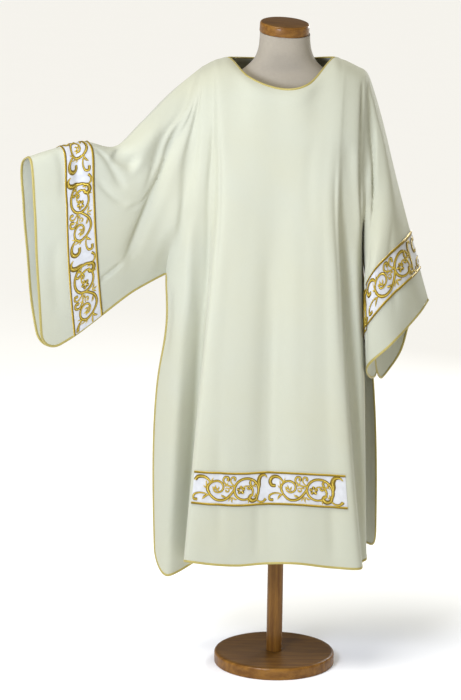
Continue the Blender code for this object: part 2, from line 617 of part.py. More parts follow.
def binding_sections(grid, path):
    """A binding's sections along a path: flush with the panel a seam's gap off, proud at the edge."""
    steps = [off_the_wall(grid, here, there) for here, there in zip(path, path[1:])]
    sections = []
    for key, before, after in zip(path, steps[:1] + steps, steps + steps[-1:]):
        mitre = (before + after) / max(1.0 + before @ after, MITRE_LEAST)
        inner = grid.cut[key] + mitre * SEAM_GAP
        if key in grid.pinched:
            inner = grid.cut[key] + (grid.edge[key] - grid.cut[key]) * grid.pinched[key]
        normal, edge = grid.normal[key], grid.edge[key]
        sections.append([inner, edge + normal * BINDING_PROUD,
                         edge - normal * (WALL + BINDING_PROUD), inner - normal * WALL])
    return sections


def add_object(name, shape, material):
    """Turn a bmesh into an object that stands at the origin."""
    mesh = bpy.data.meshes.new(name)
    shape.to_mesh(mesh)
    shape.free()
    mesh.materials.append(material)
    item = bpy.data.objects.new(name, mesh)
    bpy.context.collection.objects.link(item)
    return item


def finish(name, colour, roughness, metallic=0.0):
    """A plain material."""
    material = bpy.data.materials.new(name)
    material.use_nodes = True
    shader = material.node_tree.nodes["Principled BSDF"]
    shader.inputs["Base Color"].default_value = (*colour, 1.0)
    shader.inputs["Roughness"].default_value = roughness
    shader.inputs["Metallic"].default_value = metallic
    return material


# Rows of the two panels
BAND_BOTTOM_ROW = HEM_ROW - BAND_ABOVE_HEM / SKIRT_LENGTH
BAND_TOP_ROW = BAND_BOTTOM_ROW - BAND_WIDTH / SKIRT_LENGTH
FRONT_UPPER_ROWS = (0.0, 0.03, 0.07, 0.12, 0.20, 0.30, 0.42, 0.54, 0.66, 0.77, 0.88, 0.94, 1.0)
BACK_UPPER_ROWS = (0.0, 0.04, 0.12, 0.25, 0.42, 0.62, 0.82, 0.92, 1.0)
FRONT_LOWER_ROWS = (1.08, 1.17, 1.27, 1.37, 1.48, 1.57)
BACK_LOWER_ROWS = (1.10, 1.25, 1.42, 1.60, 1.78)
HEM_ROWS = (1.88, 1.92, 1.95, 1.975, 2.0)

# The dress form
TORSO_BOTTOM_Z = 0.860
TORSO_SIDES = 32
TORSO_SQUARENESS = 2.3
TorsoRing = namedtuple("TorsoRing", "z half_width half_depth centre_y")
TORSO = (
    TorsoRing(TORSO_BOTTOM_Z, 0.146, 0.098, 0.000),
    TorsoRing(0.880, 0.152, 0.104, 0.000),
    TorsoRing(0.950, 0.152, 0.106, 0.000),
    TorsoRing(1.060, 0.142, 0.100, 0.000),
    TorsoRing(1.180, 0.152, 0.104, 0.000),
    TorsoRing(1.300, 0.168, 0.108, -0.004),
    TorsoRing(1.380, 0.172, 0.104, -0.004),
    TorsoRing(1.430, 0.166, 0.090, -0.002),
    TorsoRing(1.465, 0.150, 0.072, 0.000),
    TorsoRing(1.492, 0.126, 0.058, 0.000),
    TorsoRing(1.512, 0.098, 0.052, 0.000),
    TorsoRing(1.532, 0.077, 0.054, 0.000),
    TorsoRing(1.555, 0.066, 0.058, 0.000),
    TorsoRing(1.578, 0.062, 0.058, 0.000),
    TorsoRing(1.600, 0.061, 0.058, 0.000),
)
CAP_RADIUS = 0.0605
CAP_HEIGHT = 0.025
CAP_CENTRE = (-0.002, 0.000, 1.6000)
CAP_TILT_SIDE = 3.6
CAP_TILT_FRONT = 8.0
CAP_EDGE = 0.006
CAP_SEAT = 0.0005
FOOT_RADIUS = 0.1525
FOOT_HEIGHT = 0.030
FOOT_EDGE = 0.006
POLE_RADIUS = 0.020
ROUND_SIDES = 48
POLE_SIDES = 24


def build_cloth():
    """The two panels, the bindings and the bands."""
    cloth = finish("cream_cloth", (0.80, 0.80, 0.70), 0.85)
    gold = finish("gold_binding", (0.72, 0.50, 0.12), 0.45)
    satin = finish("white_satin_band", (0.88, 0.86, 0.84), 0.35)
    front_rows = (*FRONT_UPPER_ROWS, *FRONT_LOWER_ROWS, BAND_TOP_ROW,
                  (BAND_TOP_ROW + BAND_BOTTOM_ROW) / 2, BAND_BOTTOM_ROW, *HEM_ROWS)
    back_rows = (*BACK_UPPER_ROWS, *BACK_LOWER_ROWS, *HEM_ROWS)
    front = Grid(Panel(FRONT, FRONT_RAISED, FRONT_BODY, FRONT_HANGING, FRONT_FOLDS), front_rows)
    back = Grid(Panel(BACK, BACK_RAISED, BACK_BODY, BACK_HANGING, BACK_FOLDS), back_rows)
    share_seam(front, back)
    for grid, name in ((front, "front"), (back, "back")):
        grid.trim()
        faces = [face for cell in grid.cells for face in grid.triangles(cell)]
        closed_wall(name + "_panel", faces, grid.cut, grid.normal, 0.0, -WALL, cloth, grid.panel.facing)
        strip(name + "_edge_binding", binding_sections(grid, grid.bound_path()[::-1]), False, gold)
    front_neck = binding_sections(front, front.neck_path())
    back_neck = binding_sections(back, back.neck_path()[::-1])
    neck = front_neck + back_neck[1:-1]
    strip("neck_binding", neck, True, gold, turned=range(len(front_neck) - 1, len(neck)))
    build_sleeve_band("left_sleeve_band", front, back, 1, satin)
    build_sleeve_band("right_sleeve_band", front, back, len(front.panel.ribs) - 3, satin)
    build_hem_band(front, satin)


def build_sleeve_band(name, front, back, rib, material):
    """A band over the top of a sleeve, between a rib and the next one."""
    first, last = front.panel.rib_columns[rib:rib + 2]
    faces, points, normals = [], {}, {}
    for grid in (front, back):
        for cell in grid.cells:
            if first <= cell[0] < last and cell[1] < grid.armpit:
                for face in grid.triangles(cell):
                    keys = tuple((column, row * grid.panel.facing) for column, row in face)
                    faces.append(keys)
                    for key, source in zip(keys, face):
                        points[key] = grid.cut[source]
                        normals[key] = grid.normal[source]
    for column in range(first, last + 1):
        points[column, 0] = (front.cut[column, 0] + back.cut[column, 0]) / 2
    closed_wall(name, faces, points, normals, SEAM_GAP + BAND_THICKNESS, SEAM_GAP, material)


def build_hem_band(front, material):
    """The short band across the front, above the hem and between its two ridges."""
    first, last = front.rib_column(BAND_LEFT_RIB), front.rib_column(BAND_RIGHT_RIB) - 1
    top, bottom = front.rows.index(BAND_TOP_ROW), front.rows.index(BAND_BOTTOM_ROW)
    cells = [cell for cell in front.cells if first <= cell[0] < last and top <= cell[1] < bottom]
    faces = [face for cell in cells for face in front.triangles(cell)]
    closed_wall("hem_band", faces, front.cut, front.normal,
                SEAM_GAP + BAND_THICKNESS, SEAM_GAP, material)


def build_torso():
    """The linen torso: rings of a squared ellipse, joined and closed at both ends."""
    linen = finish("linen", (0.62, 0.55, 0.43), 0.9)
    solid = bmesh.new()
    rings = []
    for ring in TORSO:
        corners = []
        for side in range(TORSO_SIDES):
            angle = tau * side / TORSO_SIDES
            across, deep = cos(angle), sin(angle)
            power = 2 / TORSO_SQUARENESS
            corners.append(solid.verts.new((
                ring.half_width * abs(across) ** power * (1 if across >= 0 else -1),
                ring.centre_y + ring.half_depth * abs(deep) ** power * (1 if deep >= 0 else -1),
                ring.z)))
        rings.append(corners)
    for corner in rings[-1]:
        forward = corner.co.y * sin(radians(CAP_TILT_FRONT))
        sideways = (corner.co.x - CAP_CENTRE[0]) * sin(radians(CAP_TILT_SIDE))
        corner.co.z = CAP_CENTRE[2] - CAP_SEAT + forward - sideways
    for lower, upper in zip(rings, rings[1:]):
        for side in range(TORSO_SIDES):
            following = (side + 1) % TORSO_SIDES
            solid.faces.new([lower[side], lower[following], upper[following], upper[side]])
    solid.faces.new(rings[0][::-1])
    solid.faces.new(rings[-1])
    add_object("form_torso", solid, linen)


def add_disc(name, radius, height, edge, place, material):
    """A round block on its underside, with its upper rim rounded, moved to its place."""
    solid = bmesh.new()
    bmesh.ops.create_cone(solid, cap_ends=True, segments=ROUND_SIDES, radius1=radius, radius2=radius,
                          depth=height, matrix=Matrix.Translation((0, 0, height / 2)))
    rim = [line for line in solid.edges if all(vertex.co.z > height / 2 for vertex in line.verts)]
    bmesh.ops.bevel(solid, geom=rim, offset=edge, segments=2, profile=0.5, affect="EDGES")
    bmesh.ops.transform(solid, matrix=place, verts=solid.verts)
    item = add_object(name, solid, material)
    item.data.shade_smooth()
    item.data.set_sharp_from_angle(angle=radians(50))


def build_form():
    """The dress form: torso, wooden neck cap, pole and round foot."""
    build_torso()
    honey_wood = finish("honey_wood", (0.48, 0.22, 0.06), 0.35)
    forward = Matrix.Rotation(radians(CAP_TILT_FRONT), 4, "X")
    tilt = Matrix.Rotation(radians(CAP_TILT_SIDE), 4, "Y") @ forward
    place = Matrix.Translation(CAP_CENTRE) @ tilt
    add_disc("form_neck_cap", CAP_RADIUS, CAP_HEIGHT, CAP_EDGE, place, honey_wood)
    add_disc("form_base", FOOT_RADIUS, FOOT_HEIGHT, FOOT_EDGE, Matrix.Identity(4), honey_wood)
    pole_length = TORSO_BOTTOM_Z - FOOT_HEIGHT - 2 * SEAM_GAP
    solid = bmesh.new()
    middle = Vector((0, 0, FOOT_HEIGHT + SEAM_GAP + pole_length / 2))
    bmesh.ops.create_cone(solid, cap_ends=True, segments=POLE_SIDES, radius1=POLE_RADIUS,
                          radius2=POLE_RADIUS, depth=pole_length, matrix=Matrix.Translation(middle))
    add_object("form_pole", solid, honey_wood)


def main():
    for item in list(bpy.data.objects):
        bpy.data.objects.remove(item)
    build_cloth()
    build_form()


main()
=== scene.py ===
"""Build a dalmatic and its limbless dress form: cloth, trimmings, embroidery, linen and wood, in metres.

+Z is up and the front faces -Y. Left and right are as seen from the front: the left sleeve is
raised forward and the right one hangs.

Each panel is a sheet that runs through ribs, the lines of its ridges, troughs and edges. A rib goes
from the top line (overarm, shoulder or neck) to the underarm or the hem. A place on a panel is its
distance across the ribs and its row: 0 is the top line, 1 the armpit and 2 the hem.
"""
from collections import namedtuple
from functools import cache
from math import cos, pi, radians, sin, tau

import bmesh
import bpy
import numpy as np
from bpy.props import FloatProperty, FloatVectorProperty, IntProperty, PointerProperty
from mathutils import Euler, Matrix, Vector


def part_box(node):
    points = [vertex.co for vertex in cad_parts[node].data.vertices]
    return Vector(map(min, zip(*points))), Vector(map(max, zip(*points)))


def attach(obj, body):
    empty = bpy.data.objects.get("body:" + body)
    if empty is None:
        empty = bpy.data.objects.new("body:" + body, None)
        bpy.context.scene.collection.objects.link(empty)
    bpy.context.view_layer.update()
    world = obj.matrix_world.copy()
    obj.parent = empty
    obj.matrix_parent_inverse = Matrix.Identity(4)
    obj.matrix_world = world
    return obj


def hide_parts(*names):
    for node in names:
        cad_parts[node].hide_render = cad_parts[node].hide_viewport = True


bl_info = {
    "name": "Dalmatic on a dress form",
    "version": (1, 0, 0),
    "blender": (4, 5, 0),
    "location": "View3D > Sidebar > Dalmatic",
    "description": "Builds the cloth, bindings, embroidered bands and dress form of a dalmatic",
    "category": "Object",
}

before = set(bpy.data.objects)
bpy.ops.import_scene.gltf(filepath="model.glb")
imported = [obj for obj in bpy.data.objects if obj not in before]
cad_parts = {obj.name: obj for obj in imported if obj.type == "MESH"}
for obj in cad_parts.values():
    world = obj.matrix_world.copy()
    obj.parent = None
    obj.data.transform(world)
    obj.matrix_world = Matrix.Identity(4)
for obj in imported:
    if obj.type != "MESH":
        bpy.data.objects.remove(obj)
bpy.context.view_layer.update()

FRONT, BACK = -1.0, 1.0

# The bands and the rounded corners
BAND_WIDTH = 0.085
BAND_ABOVE_HEM = 0.152
CORNER_RADIUS = 0.055
CORNER_SLACK = 1.001

# Levels of the body, as heights and as rows, and the lengths that the rows stand for
CHEST_Z = 1.30
ARMPIT_Z = 1.00
HIP_Z = 0.72
CHEST_ROW, PARTING_ROW, ARMPIT_ROW, HIP_ROW, HEM_ROW = 0.42, 0.78, 1.0, 1.40, 2.0
SLEEVE_DEPTH = 0.46
SKIRT_LENGTH = 0.70

# The top line and the underarm lines, as (x, y, z) points from the body outwards
LEFT_OVERARM = (
    (-0.205, 0.000, 1.510), (-0.262, -0.038, 1.464), (-0.331, -0.090, 1.397),
    (-0.405, -0.143, 1.335), (-0.432, -0.161, 1.343), (-0.469, -0.186, 1.350),
    (-0.532, -0.230, 1.343), (-0.604, -0.280, 1.325),
)
LEFT_UNDERARM = (
    (-0.283, -0.052, 1.008), (-0.362, -0.110, 0.973), (-0.431, -0.158, 0.926),
    (-0.499, -0.206, 0.880), (-0.592, -0.270, 0.836),
)
RIGHT_OVERARM = (
    (0.203, 0.000, 1.503), (0.219, 0.000, 1.463), (0.237, 0.000, 1.407),
    (0.265, 0.000, 1.301), (0.317, 0.000, 1.116), (0.344, 0.000, 1.021),
    (0.367, 0.000, 0.944),
)
RIGHT_UNDERARM = (
    (0.200, -0.010, 1.050), (0.212, -0.008, 0.980), (0.224, 0.000, 0.900),
    (0.235, 0.014, 0.815), (0.247, 0.030, 0.728),
)

# The neckline: its ends as (x, z), and how it runs forward or back and drops between them
NECK_LEFT = (-0.134, 1.538)
NECK_RIGHT = (0.119, 1.542)
NECK_REACH = {FRONT: 0.105, BACK: 0.072}
NECK_DROP = {FRONT: 0.064, BACK: 0.010}
NECK_SKEW = 0.10
NECK_POWER = 0.85
SHOULDER_ARCH = 0.006

# The body's two edges, and how far the raised sleeve is turned from the front
ARMHOLE_SWELLS = {"left edge": 0.030, "right edge": 0.045}
UNDERARMS = {"left edge": LEFT_UNDERARM, "right edge": RIGHT_UNDERARM}
SLIT_CURVES = {"left edge": 0.009, "right edge": 0.000}
SLIT_ROW = 1.16
SLEEVE_TURN = 35.0

# How a rib rolls over the top line, and the rows of its points and of the gaps between ribs
SHOULDER_ROLL = (22.5, 45.0, 67.5)
RAISED_ROLL_OUT, RAISED_ROLL_DROP = 0.68, 0.36
HANGING_ROLL_PART, HANGING_ROLL_OUT = 0.3, 0.012
RAISED_ROWS = (0.0, 0.06, 0.25, 0.5, 0.75, 1.0)
HANGING_ROWS = (0.0, 0.07, 0.25, 0.5, 0.75, 1.0)
SLEEVE_GAP_ROWS = (0.3, 0.5, 0.75, 1.0)
BODY_GAP_ROWS = (0.6, 1.0, 1.5, 2.0)

# Seams and the fine grid
SEAM_HALF = 0.0032
SEAM_GAP = 0.0003
NEARBY = 0.003
LEAST_DEPTH = 1e-6
LEAST_COLUMNS = 2
CREST_ROWS = 12
SHARP_ANGLE = 50.0

# The folded binding's section: the part of its width from the edge, and the height over the cloth
BINDING_SECTION = (
    (0.000, -0.0003), (0.020, 0.0003), (0.090, 0.0008), (0.240, 0.0011), (0.480, 0.0011),
    (0.700, 0.0009), (0.790, 0.0005), (0.880, 0.0008), (0.970, 0.0005), (1.000, 0.0000),
)

# How the bands are divided
MILLIMETRE = 0.001
NEAR_ON_BAND = 0.004
BAND_ROWS = 121
BAND_END = 0.004
HEM_BAND_COLUMNS = 3
REPEAT_SLIVER = 0.01

# The stitches: the steps along a scroll in degrees and along a sprig in millimetres, the part of a
# petal's swelling that is used, the turns that round a stroke's ends, the rows across a stroke, how
# full it is for its width, and how far it is sunk into the satin
SCROLL_STEP = 9.0
SPRIG_STEP, SPRIG_LEAST = 2.0, 8
PETAL_START, PETAL_SPAN = 0.06, 0.90
STROKE_END_TURNS = (72.0, 48.0, 24.0)
LEAST_STATIONS = 4
STITCH_ROWS = (-1.0, -0.75, -0.4, 0.0, 0.4, 0.75, 1.0)
STITCH_FULLNESS = 0.40
ORNAMENT_SQUEEZE = 0.95
SUNK_STITCH = 0.0001

# The cords along the bands' edges
CORD_STEP = 0.004
CORD_SIDES = 8
CORD_FLATNESS = 0.42
CORD_SLANT = 0.9

# The finishes: pitches and places of threads in metres, tints, and how fine the wood's grain is
BINDING_RIB = (0.0009, 0.0016)
BINDING_STITCH = 0.0026
BINDING_SEAM = 0.0016
LINEN_PITCH = 0.0011
WARM_CLOUDS = (0.99, 0.96, 0.88)
FOOT_GRAIN, CAP_GRAIN, POLE_GRAIN = (9.0, 90.0, 60.0), (14.0, 120.0, 120.0), (120.0, 120.0, 6.0)
PORES = 9.0
# How much a painted shade darkens the wood's flat tops
TOP_PAINTED_SHADE = 0.55
# Where across a stroke, in metres, the painted shade at its edges and the painted highlight on its crest
# start and end
PAINTED_EDGE_SHADE_SPAN, PAINTED_HIGHLIGHT_SPAN = (0.0009, 0.0030), (0.0002, 0.0011)

# The floor and the camera
FLOOR_Z = -0.0005
FLOOR_SIDES = 128
CAMERA_PLACE = (-0.08, -6.5, 2.205)
CAMERA_PITCH, CAMERA_YAW, CAMERA_ROLL = 12.119, 0.367, 0.8
SENSOR = 36.0
VIEW_END = 200.0

# The light: an even sky, a soft light from above and two soft boxes
SKY_TINT = (1.0, 0.975, 0.90)
KEY_PLACE, KEY_TARGET = (-1.5, -1.5, 5.5), (0.0, 0.0, 0.9)
KEY_TINT, KEY_SPREAD = (1.0, 0.98, 0.93), 30.0
SoftBox = namedtuple("SoftBox", "name place target size tint")
SOFT_BOXES = (
    SoftBox("lamp", (-0.80, -1.62, 1.46), (-0.1, 0.0, 1.2), 0.55, (0.895, 0.97, 1.22)),
    SoftBox("rear_lamp", (1.6, 2.6, 1.9), (-0.1, 0.0, 1.1), 1.0, (0.95, 0.98, 1.0)),
)

# Ribs of the body, from left to right: where each crosses the top line, the levels and the hem
BodyRib = namedtuple("BodyRib", "name top_x chest_x chest_y armpit_x armpit_y hip_x hip_y hem_x hem_y hem_z")
FRONT_BODY = (
    BodyRib("left edge", -0.205, -0.217, -0.112, -0.283, -0.052, -0.305, -0.035, -0.305, -0.035, 0.241),
    BodyRib("left ridge", -0.192, -0.200, -0.118, -0.232, -0.095, -0.252, -0.076, -0.268, -0.066, 0.240),
    BodyRib("left trough", -0.176, -0.171, -0.118, -0.185, -0.086, -0.197, -0.050, -0.211, -0.030, 0.262),
    BodyRib("front left ridge", -0.157, -0.146, -0.138, -0.162, -0.147,
            -0.189, -0.150, -0.224, -0.152, 0.303),
    BodyRib("neck left", -0.134, -0.118, -0.138, -0.125, -0.147, -0.140, -0.152, -0.168, -0.154, 0.297),
    BodyRib("left plain", -0.085, -0.070, -0.138, -0.075, -0.145, -0.083, -0.150, -0.098, -0.150, 0.293),
    BodyRib("centre trough", -0.015, -0.015, -0.136, -0.020, -0.137, -0.025, -0.139, -0.030, -0.145, 0.298),
    BodyRib("right plain", 0.055, 0.045, -0.138, 0.045, -0.147, 0.048, -0.151, 0.050, -0.154, 0.302),
    BodyRib("neck right", 0.119, 0.098, -0.138, 0.105, -0.146, 0.115, -0.150, 0.140, -0.150, 0.292),
    BodyRib("front right ridge", 0.140, 0.128, -0.136, 0.142, -0.144, 0.163, -0.150, 0.207, -0.150, 0.290),
    BodyRib("right step", 0.156, 0.150, -0.127, 0.160, -0.102, 0.178, -0.092, 0.216, -0.088, 0.291),
    BodyRib("right strip", 0.174, 0.172, -0.120, 0.182, -0.104, 0.197, -0.092, 0.224, -0.080, 0.293),
    BodyRib("right edge", 0.203, 0.196, -0.085, 0.200, -0.010, 0.212, -0.043, 0.222, -0.040, 0.286),
)
BACK_BODY = (
    BodyRib("left edge", -0.205, -0.225, 0.085, -0.283, -0.052, -0.272, 0.035, -0.262, 0.060, 0.262),
    BodyRib("left ridge", -0.192, -0.205, 0.105, -0.235, 0.055, -0.238, 0.095, -0.238, 0.120, 0.268),
    BodyRib("left trough", -0.176, -0.178, 0.112, -0.195, 0.095, -0.205, 0.112, -0.212, 0.118, 0.280),
    BodyRib("back left ridge", -0.157, -0.150, 0.122, -0.158, 0.128, -0.170, 0.138, -0.190, 0.148, 0.290),
    BodyRib("neck left", -0.134, -0.120, 0.126, -0.122, 0.135, -0.130, 0.140, -0.148, 0.142, 0.293),
    BodyRib("left plain", -0.085, -0.072, 0.126, -0.075, 0.130, -0.080, 0.130, -0.090, 0.128, 0.292),
    BodyRib("centre ridge", -0.015, -0.012, 0.126, -0.015, 0.136, -0.018, 0.142, -0.022, 0.150, 0.296),
    BodyRib("right plain", 0.055, 0.045, 0.126, 0.046, 0.130, 0.048, 0.130, 0.052, 0.130, 0.294),
    BodyRib("neck right", 0.119, 0.100, 0.126, 0.106, 0.134, 0.114, 0.140, 0.130, 0.148, 0.292),
    BodyRib("back right ridge", 0.140, 0.130, 0.124, 0.142, 0.128, 0.158, 0.134, 0.180, 0.140, 0.290),
    BodyRib("right trough", 0.156, 0.152, 0.118, 0.165, 0.112, 0.185, 0.118, 0.208, 0.128, 0.288),
    BodyRib("right strip", 0.174, 0.175, 0.108, 0.188, 0.085, 0.215, 0.100, 0.236, 0.105, 0.284),
    BodyRib("right edge", 0.203, 0.205, 0.070, 0.200, -0.010, 0.240, 0.060, 0.256, 0.060, 0.278),
)

# Ribs of the raised left sleeve, from the cuff to the body: where each starts and ends along the
# overarm and the underarm, how far its middle slides towards the cuff, and how far it stands out
# at a quarter, half and three quarters down
RaisedRib = namedtuple("RaisedRib", "name overarm underarm slide out_1 out_2 out_3")
FRONT_RAISED = (
    RaisedRib("cuff", 0.547, 0.393, 0.003, 0.018, 0.013, 0.010),
    RaisedRib("band outer edge", 0.457, 0.298, 0.011, 0.024, 0.020, 0.012),
    RaisedRib("band inner edge", 0.378, 0.204, 0.012, 0.027, 0.025, 0.016),
    RaisedRib("elbow", 0.302, 0.150, 0.008, 0.034, 0.030, 0.017),
    RaisedRib("upper arm", 0.192, 0.100, 0.000, 0.049, 0.040, 0.021),
    RaisedRib("shoulder", 0.083, 0.050, 0.022, 0.066, 0.060, 0.034),
)
BACK_RAISED = (
    RaisedRib("cuff", 0.547, 0.393, 0.003, 0.034, 0.030, 0.028),
    RaisedRib("band outer edge", 0.457, 0.298, 0.008, 0.034, 0.030, 0.024),
    RaisedRib("band inner edge", 0.378, 0.204, 0.008, 0.034, 0.032, 0.022),
    RaisedRib("elbow", 0.302, 0.150, 0.005, 0.040, 0.040, 0.030),
    RaisedRib("upper arm", 0.192, 0.100, 0.000, 0.048, 0.053, 0.040),
    RaisedRib("shoulder", 0.083, 0.050, 0.000, 0.056, 0.068, 0.050),
)

# Ribs of the hanging right sleeve, from the body to the cuff: where each starts and ends along the
# overarm and the underarm, and the points it goes through at a quarter, half and three quarters
HangingRib = namedtuple("HangingRib", "name overarm underarm quarter half three_quarters")
FRONT_HANGING = (
    HangingRib("shoulder", 0.043, 0.071,
               (0.226, -0.062, 1.370), (0.208, -0.095, 1.240), (0.200, -0.075, 1.100)),
    HangingRib("upper arm", 0.130, 0.122,
               (0.248, -0.070, 1.300), (0.222, -0.095, 1.180), (0.204, -0.085, 1.060)),
    HangingRib("elbow", 0.270, 0.170,
               (0.268, -0.082, 1.190), (0.228, -0.108, 1.110), (0.203, -0.088, 1.005)),
    HangingRib("band upper edge", 0.403, 0.220,
               (0.276, -0.090, 1.091), (0.224, -0.122, 1.040), (0.205, -0.086, 0.965)),
    HangingRib("band lower edge", 0.501, 0.270,
               (0.306, -0.090, 1.003), (0.243, -0.125, 0.945), (0.208, -0.093, 0.874)),
    HangingRib("cuff", 0.585, 0.332,
               (0.322, -0.075, 0.898), (0.270, -0.118, 0.850), (0.214, -0.090, 0.785)),
)
BACK_HANGING = (
    HangingRib("shoulder", 0.043, 0.071,
               (0.226, 0.055, 1.370), (0.222, 0.080, 1.250), (0.215, 0.060, 1.110)),
    HangingRib("upper arm", 0.130, 0.122,
               (0.250, 0.065, 1.290), (0.238, 0.095, 1.170), (0.222, 0.065, 1.040)),
    HangingRib("elbow", 0.270, 0.170,
               (0.280, 0.075, 1.160), (0.255, 0.105, 1.050), (0.236, 0.075, 0.960)),
    HangingRib("band upper edge", 0.403, 0.220,
               (0.308, 0.085, 1.040), (0.278, 0.115, 0.950), (0.252, 0.080, 0.885)),
    HangingRib("band lower edge", 0.501, 0.270,
               (0.328, 0.088, 0.955), (0.295, 0.115, 0.870), (0.262, 0.085, 0.815)),
    HangingRib("cuff", 0.585, 0.332,
               (0.333, 0.085, 0.880), (0.312, 0.115, 0.793), (0.276, 0.088, 0.742)),
)

# Where things start and end, as indices of ribs: the neck and the hem band on the body, and each
# sleeve band's first rib, counted from the left cuff and from the body's right edge
NECK_LEFT_RIB, NECK_RIGHT_RIB = 4, 8
HEM_BAND_LEFT_RIB, HEM_BAND_RIGHT_RIB = 3, 9
LEFT_SLEEVE_BAND_RIB, RIGHT_SLEEVE_BAND_RIB = 1, 4

# The largest folds: each runs through three points seen from the front, is pushed in (or out, if its
# depth is positive) along a direction turned from the panel's facing, and fades at both ends
Fold = namedtuple("Fold", "name turn start_x start_z middle_x middle_z end_x end_z depth half_width")
FRONT_FOLDS = (
    Fold("shoulder to elbow", 30, -0.205, 1.530, -0.278, 1.395, -0.330, 1.245, -0.007, 0.018),
    Fold("shoulder to underarm", 30, -0.210, 1.510, -0.314, 1.200, -0.383, 1.045, -0.010, 0.018),
    Fold("shoulder to armpit", 15, -0.190, 1.475, -0.222, 1.290, -0.244, 1.030, -0.006, 0.018),
    Fold("elbow dip", 35, -0.408, 1.330, -0.378, 1.312, -0.345, 1.290, -0.012, 0.022),
    Fold("right shoulder", -40, 0.206, 1.470, 0.213, 1.345, 0.214, 1.132, -0.010, 0.015),
    Fold("right side", -10, 0.150, 1.370, 0.164, 1.220, 0.186, 1.020, -0.008, 0.018),
)
BACK_FOLDS = (
    Fold("shoulder to elbow", 25, -0.235, 1.460, -0.305, 1.240, -0.385, 1.050, -0.014, 0.024),
    Fold("shoulder to armpit", 15, -0.200, 1.465, -0.222, 1.280, -0.258, 1.070, -0.010, 0.022),
    Fold("right side", -10, 0.158, 1.370, 0.172, 1.220, 0.190, 1.030, -0.009, 0.020),
)
FOLD_STEPS = 72
FOLD_FADE = 0.25
CREST_FADE = 0.06
UNDERARM_FADE = 0.10

